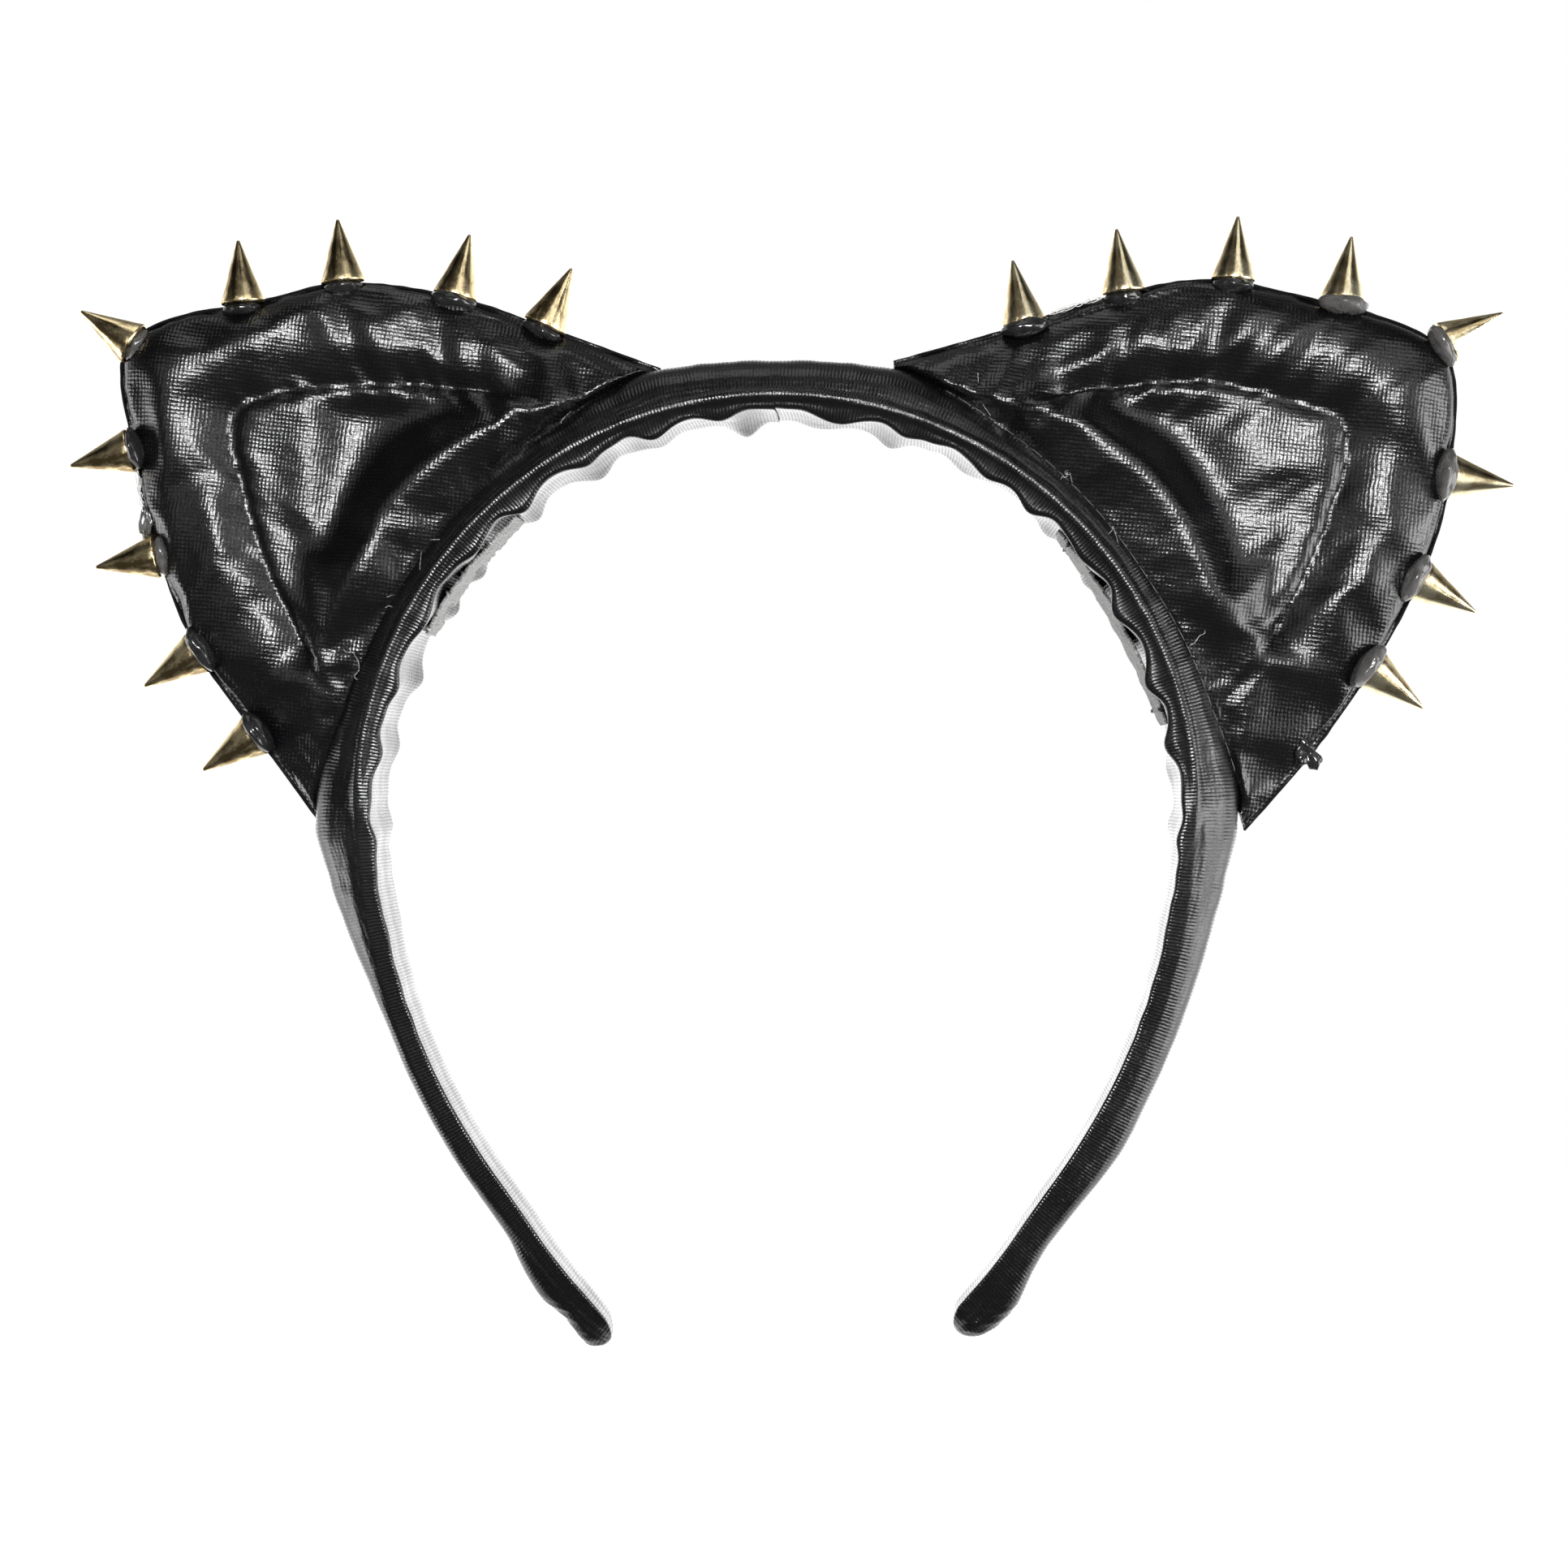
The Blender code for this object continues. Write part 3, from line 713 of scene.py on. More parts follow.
def hollow_by_fold(side, x, z, stitch, to_stitch, to_fold):
    """The hollow between the flat panel beside the side stitches and the fold along the band."""
    turn = np.argmin(np.hypot(*(stitch - QUILTING[side][5]).T))
    to_side, along_side, _ = nearest_on(x, z, stitch[turn:])
    plateau = PLATEAU[side] * (1 - along_side / lengths_of(stitch[turn:])[-1]) ** 0.45 + 1.5
    share = np.clip((to_side - plateau) / (to_side - plateau + to_fold + 1e-6), 0, 1)
    wide = smoothstep(to_side + to_fold - plateau, 2.0, 12.0) * smoothstep(to_stitch, 0.0, 5.0)
    return np.sin(math.pi * share ** HOLLOW_SKEW[side]) ** 1.3 * wide


def fold_rise(cover, along_fold, length):
    """The fold's height along it: low at both ends."""
    ends = smoothstep(along_fold, 6.0, 26.0) * (1 - smoothstep(along_fold, length - 40.0, length - 14.0))
    return cover["rise"] * (0.2 + 0.8 * ends)


def rim_relief(side, cover, from_edge, along_edge, seed):
    """The dents and swells of the puffed rim between the free edge and the stitches."""
    rim = smoothstep(from_edge, 2.0, 7.0) * (1 - smoothstep(from_edge, 13.0, 18.0))
    leaning = along_edge + 0.6 * from_edge
    dimples = dents(leaning, seed, 6.4, *PUCKERED[side])
    dimples = dimples + 0.4 * dents(leaning, seed + 5, 15.0, 98.0, 140.0)
    return (0.12 * ripples(along_edge, 17.0, seed + 1) - cover["dent"] * dimples) * rim


def ear_puff(side, x, z, edge, foot, cover):
    """How far the stuffed cover stands off the ear's plane at each point."""
    from_edge, along_edge, _ = nearest_on(x, z, edge)
    to_foot, _, _ = nearest_on(x, z, foot[:, ::2])
    stitch = quilting_line(side)
    to_stitch, along_stitch, stitch_side = nearest_on(x, z, stitch)
    fold = evenly(smooth_through(FOLD_START + ARC_FOLD + FOLD_END, 8), 90) - FOLD_SHIFT[side]
    to_fold, along_fold, fold_side = nearest_on(x, z, fold)
    beyond = to_fold * fold_side
    inside = (stitch_side > 0) & (beyond < 0)
    seed = (40 if side == "left" else 60) + cover["seed"]

    # The padding, which rises roundly from the edge and thins out towards the lower corner.
    base = cover["puff"] * (1 - (1 - np.clip(from_edge / RIM_WIDTH, 0, 1)) ** 2) ** 0.68
    base = base * (1 - 0.58 * smoothstep(-z, 27.0, 60.0))
    # The stitches' pull, from their first to their last, and the hollow they leave by the fold.
    end = lengths_of(stitch)[-1]
    held = smoothstep(along_stitch, -2.0, 7.0) * (1 - smoothstep(along_stitch, end - 5.0, end + 2.0))
    pulled = cover["pull"] * quilted_groove(to_stitch, beyond, inside, held)
    h = base - pulled - cover["hollow"] * hollow_by_fold(side, x, z, stitch, to_stitch, to_fold) * inside

    # The fold: a crest, which on the front falls away beyond it to the seam on the band.
    rise = fold_rise(cover, along_fold, lengths_of(fold)[-1])
    crest = rise * np.exp(-((beyond / FOLD_HALF_WIDTH) ** 2))
    at_foot = np.broadcast_to(foot[None, :, 1], x.shape)
    if cover is FRONT_COVER:
        top = base + rise
        fall = np.clip(beyond / (beyond + to_foot + 1e-6), 0, 1) ** 1.2
        h = np.where(beyond > 0, top + (at_foot - top) * fall - pulled, h + crest)
    else:
        h = h + crest

    # Dents, puckers and waves, then the seam on the band and the thin free edge.
    h = h + rim_relief(side, cover, from_edge, along_edge, seed)
    h = h + cover["pucker"] * ripples(along_stitch, 6.5, seed + 2) * np.exp(-to_stitch / 4.5) * held
    h = h + 0.12 * dunes(x, z, 14.0, seed + 3) * smoothstep(from_edge, 1.0, 5.0)
    joined = 1 - smoothstep(to_foot, 0.0, cover["join"])
    h = h * (1 - joined) + at_foot * joined
    freedom = np.clip((to_stitch - 0.6) / 2.5, 1 - held, 1) * smoothstep(from_edge, 0.6, 3.0)
    h = relaxed(h, freedom, 10)
    low = smoothstep(from_edge, 0.0, 1.2)
    return np.maximum(h, 0.15) * low + 0.15 * (1 - low)


def cushion_faces(rows, columns, flip):
    """The faces of a cushion's closed skin: its grid, the strip that joins the last row to the
    first, and the two narrow ends."""
    faces = grid_faces(rows, columns, flip=flip)
    last = (rows - 1) * columns
    for j in range(columns - 1):
        face = (last + j, last + j + 1, j + 1, j)
        faces.append(face[::-1] if flip else face)
    for j in (0, columns - 1):
        ring = [i * columns + j for i in range(rows)]
        faces.append(tuple(ring if (j == 0) == flip else ring[::-1]))
    return faces


# The cloth simulation: every how many grid points it uses, its frames, and how far cloth may move.
CLOTH_COARSENESS = 3
CLOTH_FRAMES = 14
CLOTH_REACH = 0.8
CLOTH_SETTINGS = dict(
    quality=4,
    mass=0.15,
    tension_stiffness=12,
    compression_stiffness=12,
    shear_stiffness=6,
    bending_stiffness=0.05,
    shrink_min=-0.02,
    use_pressure=True,
    uniform_pressure_force=1.5,
    vertex_group_mass="held",
)


def add_cloth(obj, held):
    """A cloth modifier for a light, stuffed skin that is pinned at the held points."""
    group = obj.vertex_groups.new(name="held")
    for index in np.flatnonzero(held.ravel()):
        group.add([int(index)], 1.0, "REPLACE")
    cloth = obj.modifiers.new("cloth", "CLOTH")
    for key, value in CLOTH_SETTINGS.items():
        setattr(cloth.settings, key, value)
    cloth.settings.effector_weights.gravity = 0
    cloth.point_cache.frame_start = 1
    cloth.point_cache.frame_end = CLOTH_FRAMES


def cloth_movement(coarse, held, flip, material):
    """How far each point of a coarse skin moves in the simulation, in millimetres."""
    rows, columns = coarse.shape[:2]
    obj = put_mesh("settling", coarse, cushion_faces(rows, columns, flip), material)
    add_cloth(obj, held)
    for number in range(1, CLOTH_FRAMES + 1):
        bpy.context.scene.frame_set(number)
    settled = obj.evaluated_get(bpy.context.evaluated_depsgraph_get()).to_mesh()
    moved = np.array([v.co for v in settled.vertices]).reshape(coarse.shape) / MM - coarse
    bpy.data.objects.remove(obj)
    bpy.context.scene.frame_set(1)
    return moved


def cloth_settling(grid, held, flip, material):
    """How the stuffed skin settles between its seams: a short cloth simulation on a coarser copy of
    the grid, whose movement is spread over the grid, smoothed and limited."""
    thin = CLOTH_COARSENESS
    moved = cloth_movement(grid[::thin, ::thin], held[::thin, ::thin], flip, material)
    rows, columns = moved.shape[:2]
    places = [np.arange(count) / thin for count in grid.shape[:2]]
    step = np.zeros(grid.shape)
    for axis in range(3):
        down = [np.interp(places[0], np.arange(rows), column) for column in moved[..., axis].T]
        step[..., axis] = [np.interp(places[1], np.arange(columns), row) for row in np.array(down).T]
        step[..., axis] = relaxed(step[..., axis], 1 - held, 8)
    far = np.linalg.norm(step, axis=2)[..., None] + 1e-9
    return step * CLOTH_REACH * np.tanh(far / CLOTH_REACH) / far


def sewn_down(side, grid, edge, foot):
    """Which points of the skin are held: those at the stitches, the seam on the band and the edge."""
    x, z = np.abs(grid[..., 0]), grid[..., 2]
    to_stitch = nearest_on(x, z, quilting_line(side))[0]
    to_foot = nearest_on(x, z, foot[:, ::2])[0]
    to_edge = nearest_on(x, z, edge)[0]
    return ((to_stitch < 0.9) | (to_foot < 1.2) | (to_edge < 0.7)).astype(float)


def build_ear(side, sign, materials):
    """One stuffed ear as a closed cushion: front and back covers joined along the free edge, and
    closed under the seam by the strip of fabric that lies on the band."""
    x, z, edge, foot = ear_plane(side)
    front = np.stack([sign * x, -ear_puff(side, x, z, edge, foot, FRONT_COVER), z], axis=-1)
    back = np.stack([sign * x, ear_puff(side, x, z, edge, foot, BACK_COVER), z], axis=-1)
    middle = np.stack([sign * edge[:, 0], np.zeros(len(edge)), edge[:, 1]], axis=-1)
    grid = np.concatenate([front[:0:-1], middle[None], back[1:]])
    cloth = np.stack([grid[..., 0], grid[..., 2]], axis=-1)
    held = sewn_down(side, grid, edge, foot)
    grid = grid + cloth_settling(grid, held, sign < 0, materials["ear_knit"])
    faces = cushion_faces(len(grid), EAR_COLUMNS, sign < 0)
    ear = put_mesh(f"ear_cushion_{side}", grid, faces, materials["ear_knit"], weave=cloth)
    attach(ear, f"{side}_side")
    inner = ("front_cover", "back_cover", "wadding", "stiffener")
    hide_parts(*[f"ear_{side}_{piece}" for piece in inner])
    return ear


# Threads.


def stitches(path, length, gap, radius, sink):
    """Short stitches one after another along a path, each dipping into the cloth at its ends."""
    total = lengths_of(path)[-1]
    parts = []
    start = gap
    while start + length < total:
        run = resample(path, np.linspace(start, start + length, 7))
        dip = np.sin(np.linspace(0, math.pi, 7))
        run[:, 1] += sink * (1 - dip)
        parts.append(tube_through(run, radius * (0.45 + 0.55 * dip), 6))
        start += length + gap
    return join_pieces(parts)


def surface_height(obj, x, z):
    """How far the front of a piece stands out at this place: its Y, in millimetres."""
    hit, place, _, _ = obj.ray_cast(Vector((x * MM, -0.05, z * MM)), Vector((0, 1, 0)))
    return place.y / MM if hit else 0.0


def build_ear_threads(side, sign, ear, materials):
    """The quilting stitches in their groove, and the seam's stitches along the band."""
    stitch = quilting_line(side, 240)
    path = [(sign * x, surface_height(ear, sign * x, z) + 0.1, z) for x, z in stitch]
    points, faces = stitches(np.array(path), length=1.9, gap=0.5, radius=0.08, sink=0.2)
    quilting = put_mesh(f"quilting_stitches_{side}", points, faces, materials["dark_thread"])
    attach(quilting, f"{side}_side")
    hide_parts(f"ear_{side}_quilting")
    seam = seam_line(260)[24:-10]
    parts = []
    for face in (-1.0, 1.0):
        lift = sleeve_top(*seam.T, side) + 0.1
        foot = band_place(seam[:, 0], seam[:, 1] * face + 0.2 * face, lift, sign)
        parts.append(stitches(foot, length=2.4, gap=0.35, radius=0.07, sink=-0.12 * face))
    points, faces = join_pieces(parts)
    thread = materials["grey_thread" if side == "right" else "dark_thread"]
    line = put_mesh(f"seam_stitches_{side}", points, faces, thread)
    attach(line, f"{side}_side")
    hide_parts(f"ear_{side}_seam")


def build_edge_seam(side, sign, materials):
    """The sewn edge where an ear's two covers meet: a thin rough welt."""
    edge = edge_line(side, 420)
    far = lengths_of(edge)
    rough = 0.22 + 0.03 * ripples(far, 3.6, 70) + 0.05 * ripples(far, 11.0, 71)
    path = np.stack([sign * edge[:, 0], 0.15 * ripples(far, 9.0, 72), edge[:, 1]], axis=1)
    points, faces = tube_through(path, np.clip(rough, 0.2, 0.7), 8)
    welt = put_mesh(f"edge_welt_{side}", points, faces, materials["dark_thread"])
    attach(welt, f"{side}_side")


# Spikes and glue.


def spike_axis(node):
    """A spike's base centre and tip, from its CAD node, in millimetres."""
    corners = np.array([v.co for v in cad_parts[node].data.vertices]) / MM
    corners = np.unique(np.round(corners, 3), axis=0)
    middle = corners.mean(axis=0)
    tip = corners[np.argmax(np.linalg.norm(corners - middle, axis=1))]
    axis = (tip - middle) / np.linalg.norm(tip - middle)
    length = ((tip - corners) @ axis).max()
    return tip - axis * length, axis, length


SPIKE_SEGMENTS = 72
SPIKE_RADIUS = 3.5
SPIKE_BEVEL = 0.42
SPIKE_TIP = 0.3
HOLE_RADIUS = 1.25
HOLE_DEPTH = 4.5


def spike_outline(length):
    """A turned cone's (radius, height) points: base with its screw hole, bevel, flank and tip."""
    hole = [(0.05, HOLE_DEPTH + 0.1), (HOLE_RADIUS, HOLE_DEPTH), (HOLE_RADIUS, 0.15), (1.4, 0.0)]
    bevel = [(SPIKE_RADIUS - inset, up) for inset, up in ((0.4, 0.0), (0.14, 0.06), (0.01, 0.22))]
    up_flank = np.linspace((SPIKE_RADIUS, SPIKE_BEVEL), (SPIKE_TIP + 0.02, length - SPIKE_TIP), 14)
    round_tip = [
        (SPIKE_TIP * math.cos(turn), length - SPIKE_TIP * (1 - math.sin(turn)))
        for turn in np.linspace(0.15, math.pi / 2, 5)[:-1]
    ]
    return hole + bevel + [tuple(point) for point in up_flank] + round_tip


def turned(outline):
    turns = np.arange(SPIKE_SEGMENTS) * 2 * math.pi / SPIKE_SEGMENTS
    rings = [[(r * math.cos(t), r * math.sin(t), h) for t in turns] for r, h in outline]
    faces = grid_faces(len(rings), SPIKE_SEGMENTS, wrap=True)
    last = (len(rings) - 1) * SPIKE_SEGMENTS
    faces.append(tuple(range(last, last + SPIKE_SEGMENTS)))
    faces.append(tuple(reversed(range(SPIKE_SEGMENTS))))
    return np.array(rings).reshape(-1, 3), faces


def stand_at(obj, place, axis=(0, 0, 1)):
    """Put a piece at this place, in millimetres, with its own Z along the axis."""
    turn = Vector((0, 0, 1)).rotation_difference(Vector(axis)).to_matrix().to_4x4()
    obj.matrix_world = Matrix.Translation(Vector(place) * MM) @ turn
    bpy.context.view_layer.update()


def lump(name, radii, seed, roughness, material):
    """A blob of set glue: a fine sphere, scaled to its radii and pushed about by noise."""
    bm = bmesh.new()
    bmesh.ops.create_icosphere(bm, subdivisions=4, radius=1.0)
    offset = Vector((seed * 3.7, seed * 1.9, seed * 5.3))
    for vert in bm.verts:
        rough = noise.noise(vert.co * 1.3 + offset) + 0.4 * noise.noise(vert.co * 3.4 + offset)
        place = Vector([part * radius for part, radius in zip(vert.co, radii)])
        vert.co = place * (1 + roughness * rough) * MM
    mesh = bpy.data.meshes.new(name)
    bm.to_mesh(mesh)
    bm.free()
    mesh.shade_smooth()
    mesh.materials.append(material)
    return new_object(name, mesh)


# How the glue at each spike turned out: its kind, how far it shows on the front, and its size
# against a plain dab's.
GLUE_DAB = (3.2, 2.9, 1.35)
GLUE = {
    "left": [
        ("clear", 0.5, 1.0), ("clear", 1.3, 1.1), ("clear", 0.6, 0.95), ("clear", 0.4, 0.95),
        ("milky", 0.5, 0.9), ("clear", 1.5, 1.0), ("milky", 0.5, 0.95), ("clear", 1.8, 1.15),
        ("clear", 1.6, 1.15),
    ],
    "right": [
        ("clear", 1.6, 1.1), ("clear", 0.2, 0.95), ("clear", 0.9, 1.0), ("milky", 1.7, 1.2),
        ("milky", 1.4, 1.1), ("milky", 2.0, 1.25), ("milky", 2.0, 1.2), ("milky", 2.0, 1.2),
    ],
}


def build_spikes(side, sign, materials):
    for number, (kind, forward, size) in enumerate(GLUE[side], start=1):
        name = f"{side}_{number}"
        base, axis, length = spike_axis(f"spike_{name}")
        points, faces = turned(spike_outline(length))
        # Lighter brass on the right ear and browner on the left: painted light and painted shade on one
        # brass.
        brass = materials["brass_painted_lit"] if side == "right" else materials["brass_painted_shade"]
        spike = put_mesh(f"cone_{name}", points, faces, brass)
        spike.data.set_sharp_from_angle(angle=math.radians(50))
        stand_at(spike, base, axis)
        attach(spike, f"{side}_side")
        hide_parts(f"spike_{name}")
        seed = number + (20 if side == "left" else 0)
        radii = [size * radius for radius in GLUE_DAB]
        glue = lump(f"glue_dab_{name}", radii, seed, 0.15, materials[f"{kind}_glue"])
        place = base - axis * 0.75 + np.array([0.0, -forward, 0.0])
        stand_at(glue, place, axis)
        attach(glue, f"{side}_side")
        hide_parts(f"glue_{name}")


def build_residue(materials):
    """Rough glue left where the right ear's ninth spike came off."""
    low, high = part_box("glue_right_residue")
    centre = np.array((low + high) / 2) / MM
    crumbs = lump("glue_crumbs", (1.9, 1.1, 2.4), 9, 0.95, materials["clear_glue"])
    stand_at(crumbs, centre)
    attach(crumbs, "right_side")
    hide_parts("glue_right_residue")


# Strings of glue along each ear's edge: the spike they come from, and where they start and end from
# there along the edge, towards the lower corner.
GLUE_STRINGS = {"left": (7, -14.0, -7.0), "right": (1, 4.5, 12.0)}
STRING_RADIUS = 0.06
STRING_POINTS = 9
# Where the drip hangs on the left ear, from the same spike.
GLUE_DRIP_PLACE = -5.6


def build_glue_strings(side, sign, materials):
    """Fine strings pulled out of the glue, which lie along the ear's edge, and the left one's drip."""
    rng = np.random.default_rng(8)
    number, start, end = GLUE_STRINGS[side]
    base = spike_axis(f"spike_{side}_{number}")[0]
    edge = edge_line(side, 400)
    origin = nearest_on(np.array([abs(base[0])]), np.array([base[2]]), edge)[1][0]
    parts = []
    for _ in range(4):
        wander = rng.normal(0, 0.3, STRING_POINTS)
        line = resample(edge, origin + np.linspace(start, end, STRING_POINTS) + wander)
        along = np.gradient(line, axis=0)
        along /= np.linalg.norm(along, axis=1)[:, None]
        out = rng.uniform(-0.3, 0.5, STRING_POINTS)
        x = sign * (line[:, 0] - along[:, 1] * out)
        z = line[:, 1] + along[:, 0] * out
        path = np.stack([x, -rng.uniform(0.3, 1.6, STRING_POINTS), z], axis=1)
        parts.append(tube_through(smooth_through(path, 5), STRING_RADIUS, 6))
    points, faces = join_pieces(parts)
    strings = put_mesh(f"glue_strings_{side}", points, faces, materials["white_fibre"])
    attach(strings, f"{side}_side")
    if side == "left":
        place = resample(edge, [origin + GLUE_DRIP_PLACE])[0]
        drip = lump("glue_drip", (0.9, 0.9, 2.6), 33, 0.7, materials["milky_glue"])
        stand_at(drip, (sign * (place[0] + 0.2), -0.9, place[1]))
        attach(drip, f"{side}_side")


# The specks' number, and the place (x, z) where their patch starts and how far it goes from there.
SPECKS = 46
SPECKS_START = (56.7, -95.0)
SPECKS_RUN = (-3.0, -12.0)


def build_leg_specks(sleeve, materials):
    """Eight-sided specks of glue stuck to the front of the right leg, in a patch along it."""
    rng = np.random.default_rng(14)
    corners = np.array([(1, 0, 0), (-1, 0, 0), (0, 1, 0), (0, -1, 0), (0, 0, 1), (0, 0, -1)])
    sides = [(0, 2, 4), (2, 1, 4), (1, 3, 4), (3, 0, 4), (2, 0, 5), (1, 2, 5), (3, 1, 5), (0, 3, 5)]
    parts = []
    for _ in range(SPECKS):
        down = rng.uniform(0, 1) ** 0.7
        x = SPECKS_START[0] + SPECKS_RUN[0] * down + rng.normal(0, 0.6)
        z = SPECKS_START[1] + SPECKS_RUN[1] * down
        size = rng.uniform(0.05, 0.12)
        y = surface_height(sleeve, x, z)
        if y < 0:
            parts.append((corners * size + (x, y, z), sides))
    points, faces = join_pieces(parts)
    specks = put_mesh("glue_specks", points, faces, materials["grey_thread"], smooth=False)
    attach(specks, "right_side")


# The strip inside.

STRIP_MARGIN = 1.9
STRIP_END = 184.0
# Its section: shares of the half width, and how far out, in millimetres.
SECTION_ACROSS = np.array([-1, -0.97, 0.97, 1, 1, 0.97, -0.97, -1])
SECTION_OUT = np.array([-0.6, -0.85, -0.85, -0.6, 0.5, 0.75, 0.75, 0.5])


def build_strip(side, sign, materials):
    """One side's length of the springy strip, which leans out with the tip."""
    start = abs(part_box(f"core_{side}")[0 if side == "right" else 1][0]) / MM
    first = CROWN_RADIUS * math.asin(start / CROWN_RADIUS)
    stations = np.array([first, *np.arange(15.0, STRIP_END, 3.0), STRIP_END])
    halves = band_sizes(stations, side)[0] - STRIP_MARGIN
    rows = [band_place(s, half * SECTION_ACROSS, SECTION_OUT, sign) for s, half in zip(stations, halves)]
    faces = grid_faces(len(rows), 8, wrap=True, flip=sign < 0)
    ends = [tuple(range(8)), tuple(reversed(range((len(rows) - 1) * 8, len(rows) * 8)))]
    faces += ends if sign < 0 else [end[::-1] for end in ends]
    strip = put_mesh(f"spring_strip_{side}", rows, faces, materials["strip_plastic"], smooth=False)
    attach(strip, f"{side}_side")
    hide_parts(f"core_{side}")


# Wrap tabs.

# Each tab's start and end along the band, its reach in front of and behind the band's middle, and
# how far it sags from the band.
WRAP_TAB = {"left": (46.0, 70.0, 2.5, 8.6, 0.4), "right": (50.0, 86.0, 2.5, 8.6, 1.6)}
TAB_ROWS = 90
TAB_COLUMNS = 26
TAB_WALL = 0.45


def build_wrap_tab(side, sign, materials):
    """The raw end of the fabric, glued down inside the band, with a frayed edge."""
    start, end, front, back, loose = WRAP_TAB[side]
    s = np.linspace(start, end, TAB_ROWS)[:, None]
    share = np.linspace(0, 1, TAB_COLUMNS)[None, :]
    fray = 0.35 * ripples(s, 1.3, 81) + 0.3 * ripples(s, 4.0, 82)
    y = -front + (front + back) * share + fray * (share > 0.97) - fray * (share < 0.03)
    s = s + 0 * y
    sag = loose * np.sin(math.pi * np.clip((s - start) / (end - start), 0, 1)) ** 0.7
    r = -2.5 - sag * (0.55 + 0.45 * share) - 0.14 * dunes(s, y, 5.0, 83)
    points = band_place(s, y, r, sign)
    cloth = np.stack([s, y], axis=-1)
    faces = grid_faces(TAB_ROWS, TAB_COLUMNS)
    tab = put_mesh(f"raw_tab_{side}", points, faces, materials["raw_knit"], weave=cloth)
    wall = tab.modifiers.new("wall", "SOLIDIFY")
    wall.thickness = TAB_WALL * MM
    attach(tab, f"{side}_side")
    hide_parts(f"wrap_tab_{side}")


FIBRES = 7
FIBRE_RADIUS = 0.022


def build_lint(materials):
    """A few stray white fibres along each ear's seam."""
    rng = np.random.default_rng(5)
    for side, sign in SIDES:
        parts = []
        seam = seam_line(80)
        for index in rng.integers(12, 70, FIBRES):
            s, y = seam[index]
            start = band_place(s, -y - 0.5, sleeve_top([s], [y], side)[0] + 0.4, sign)
            bend = rng.normal(0, 1, 3) * (1.1, 0.1, 1.1) + rng.normal(0, 0.5, (4, 3)) * (1, 0.2, 1)
            path = start + np.cumsum(np.vstack([np.zeros(3), bend]), axis=0) * (1, 0.4, 1)
            path[:, 1] = np.minimum(path[:, 1], start[1])
            parts.append(tube_through(smooth_through(path, 6), FIBRE_RADIUS, 5))
        points, faces = join_pieces(parts)
        lint = put_mesh(f"lint_{side}", points, faces, materials["white_fibre"])
        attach(lint, f"{side}_side")


# The studio.

# The room's light by direction, each as (from, to, level from, level to): its strength by how far a
# direction points backwards, the same for a second light right behind the object, and the share of
# both that is left by how far the direction points up.
ROOM_STRENGTH = (-0.05, 0.45, 0.09, 1.5)
BEHIND_LIGHT = (0.8, 0.97, 0.0, 1.0)
UPWARD_SHARE = (0.2, 0.6, 1.0, 0.12)


def build_world():
    """A white backdrop behind the object, a dim room in front of it, white for the camera."""
    world = bpy.data.worlds.new("studio")
    bpy.context.scene.world = world
    n = Nodes(world)
    n.tree.nodes.clear()
    split = n.add("ShaderNodeSeparateXYZ")
    n.link(n.add("ShaderNodeTexCoord").outputs["Generated"], split.inputs[0])
    room, behind, upwards = (
        n.remap(split.outputs[axis], *levels, ease="SMOOTHSTEP")
        for axis, levels in ((1, ROOM_STRENGTH), (1, BEHIND_LIGHT), (2, UPWARD_SHARE))
    )
    strength = n.maths("MULTIPLY", n.maths("ADD", room, behind), upwards)
    mix = n.add("ShaderNodeMixShader")
    n.link(n.add("ShaderNodeLightPath").outputs["Is Camera Ray"], mix.inputs[0])
    for level, socket in ((strength, mix.inputs[1]), (1.0, mix.inputs[2])):
        light = n.add("ShaderNodeBackground")
        light.inputs["Color"].default_value = (1.0, 1.0, 1.0, 1.0)
        n.link(level, light.inputs["Strength"])
        n.link(light.outputs[0], socket)
    n.link(mix.outputs[0], n.add("ShaderNodeOutputWorld").inputs[0])


FLOOR_Z = -0.42
FLOOR_REACH = 3000.0


def build_floor():
    """A plain pale floor well below, which is lit until it is white."""
    n = Nodes(bpy.data.materials.new("pale_floor"))
    grain = n.noise(n.place(), 12.0, 3.0)
    material = n.finish(
        Base_Color=n.colours(grain, (0.3, (0.86, 0.86, 0.86)), (0.7, (0.9, 0.9, 0.9))),
        Roughness=n.remap(grain, 0.3, 0.7, 0.7, 0.9),
        Emission_Color=(1.0, 1.0, 1.0, 1.0),
        Emission_Strength=1.0,
    )
    corners = [(x * FLOOR_REACH, y * FLOOR_REACH, 0.0) for x, y in ((-1, -1), (1, -1), (1, 1), (-1, 1))]
    floor = put_mesh("floor", corners, [(0, 1, 2, 3)], material, smooth=False)
    floor.location = (0, 0, FLOOR_Z)
    floor.visible_glossy = False


def aimed(name, data, place, target):
    """A lamp or camera at this place, in metres, that looks at the target."""
    obj = new_object(name, data)
    obj.location = place
    obj.rotation_mode = "QUATERNION"
    obj.rotation_quaternion = (Vector(target) - Vector(place)).to_track_quat("-Z", "Y")
    return obj


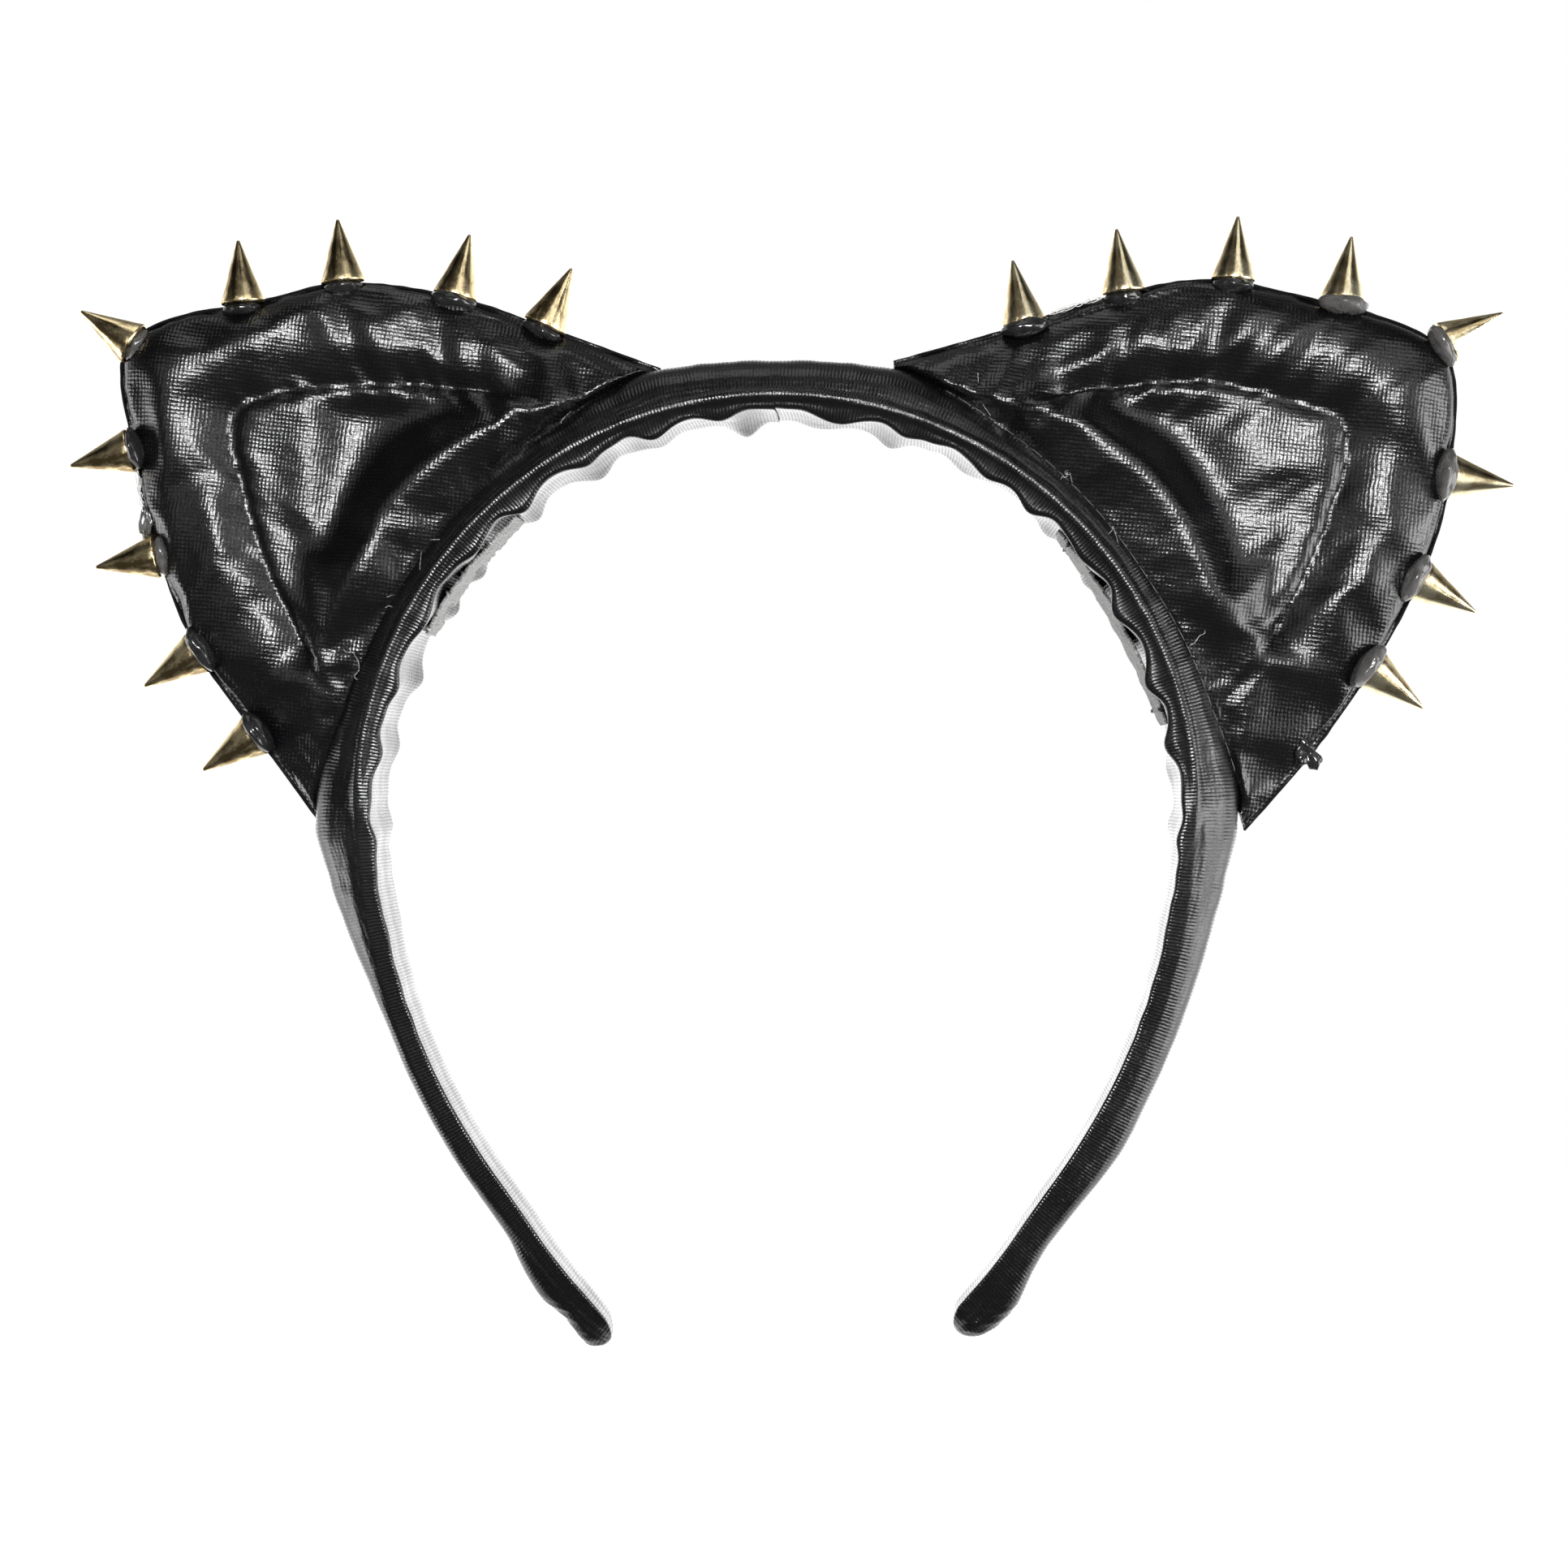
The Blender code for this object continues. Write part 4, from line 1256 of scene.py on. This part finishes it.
# The soft lamps, in metres and watts: name, place, width and height, and power.
LAMP_TARGET = (0.0, 0.0, -0.02)
SOFTBOXES = [
    ("front_box", (0.05, -0.95, 0.2), (0.26, 0.22), 11.0),
    ("right_box", (0.95, -0.38, -0.12), (0.45, 0.6), 7.0),
    ("left_box", (-0.95, 0.12, -0.32), (0.4, 0.5), 3.0),
    ("right_low_box", (0.95, 0.15, -0.35), (0.4, 0.5), 3.0),
    ("left_strip", (-0.55, -0.72, 0.1), (0.035, 0.8), 0.4),
    ("right_strip", (0.62, -0.66, 0.1), (0.035, 0.8), 0.7),
    ("upper_right_box", (0.4, -0.7, 0.6), (0.5, 0.45), 0.75),
    ("upper_left_box", (-0.4, -0.7, 0.6), (0.5, 0.45), 0.06),
    ("top_box", (-0.1, -0.1, 0.9), (0.5, 0.5), 1.0),
]


def build_lamps():
    for name, place, size, power in SOFTBOXES:
        lamp = bpy.data.lights.new(name, "AREA")
        lamp.shape = "RECTANGLE"
        lamp.size, lamp.size_y = size
        lamp.energy = power
        aimed(name, lamp, place, LAMP_TARGET)


# The camera, in metres: how far it stands, how wide it sees there, and what it looks at.
VIEW_DISTANCE = 0.58
VIEW_WIDTH = 0.2430
VIEW_TURN = math.radians(2.3)
VIEW_CENTRE = Vector((0.0011, 0.0, -0.0574))


def build_camera():
    data = bpy.data.cameras.new("camera")
    data.sensor_width = 36.0
    data.lens = data.sensor_width * VIEW_DISTANCE / VIEW_WIDTH
    back = Vector((math.sin(VIEW_TURN), -math.cos(VIEW_TURN), 0.0))
    bpy.context.scene.camera = aimed("camera", data, VIEW_CENTRE + back * VIEW_DISTANCE, VIEW_CENTRE)


def build_studio():
    bpy.context.scene.view_settings.view_transform = "Standard"
    build_world()
    build_floor()
    build_camera()
    build_lamps()


def build_materials():
    return {
        "ear_knit": wet_knit("wet_knit_ear", (0.6, 0.6), turn=math.radians(7), rib=0.25, gloss=(0.13, 0.22)),
        "band_knit": wet_knit("wet_knit_band", (0.52, 0.8), turn=0.0, rib=0.36, gloss=(0.14, 0.24)),
        "raw_knit": raw_knit("raw_knit"),
        "dark_thread": twisted_thread("dark_thread", (0.005, 0.005, 0.006), rough=0.7, specular=0.12),
        "grey_thread": twisted_thread("grey_thread", (0.1, 0.1, 0.095), rough=0.5),
        "white_fibre": twisted_thread("white_fibre", (0.7, 0.7, 0.68), rough=0.5),
        # The same brass twice: lighter for the right ear's spikes as painted light, browner for the left
        # ear's as painted shade.
        "brass_painted_lit": antique_brass("brass_painted_lit", (1.0, 0.9, 0.62), (0.7, 0.55, 0.3)),
        "brass_painted_shade": antique_brass("brass_painted_shade", (0.95, 0.78, 0.46), (0.36, 0.26, 0.13)),
        "milky_glue": hot_glue("milky_glue", (0.11, 0.107, 0.104), clarity=0.35, rough=0.12),
        "clear_glue": hot_glue("clear_glue", (0.02, 0.02, 0.02), clarity=0.3, rough=0.08),
        "strip_plastic": moulded_plastic("strip_plastic"),
    }


def build_all():
    build_studio()
    materials = build_materials()
    for side, sign in SIDES:
        sleeve = build_sleeve(side, sign, materials)
        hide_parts(f"sleeve_{side}", f"foam_{side}")
        if side == "left":
            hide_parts("sleeve_crown", "foam_crown")
        ear = build_ear(side, sign, materials)
        build_ear_threads(side, sign, ear, materials)
        build_edge_seam(side, sign, materials)
        build_spikes(side, sign, materials)
        build_glue_strings(side, sign, materials)
        build_wrap_tab(side, sign, materials)
        build_strip(side, sign, materials)
    build_leg_specks(sleeve, materials)
    build_residue(materials)
    build_lint(materials)
    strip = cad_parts["core_crown"]
    for index in range(len(strip.data.materials)):
        strip.data.materials[index] = materials["strip_plastic"]


build_all()
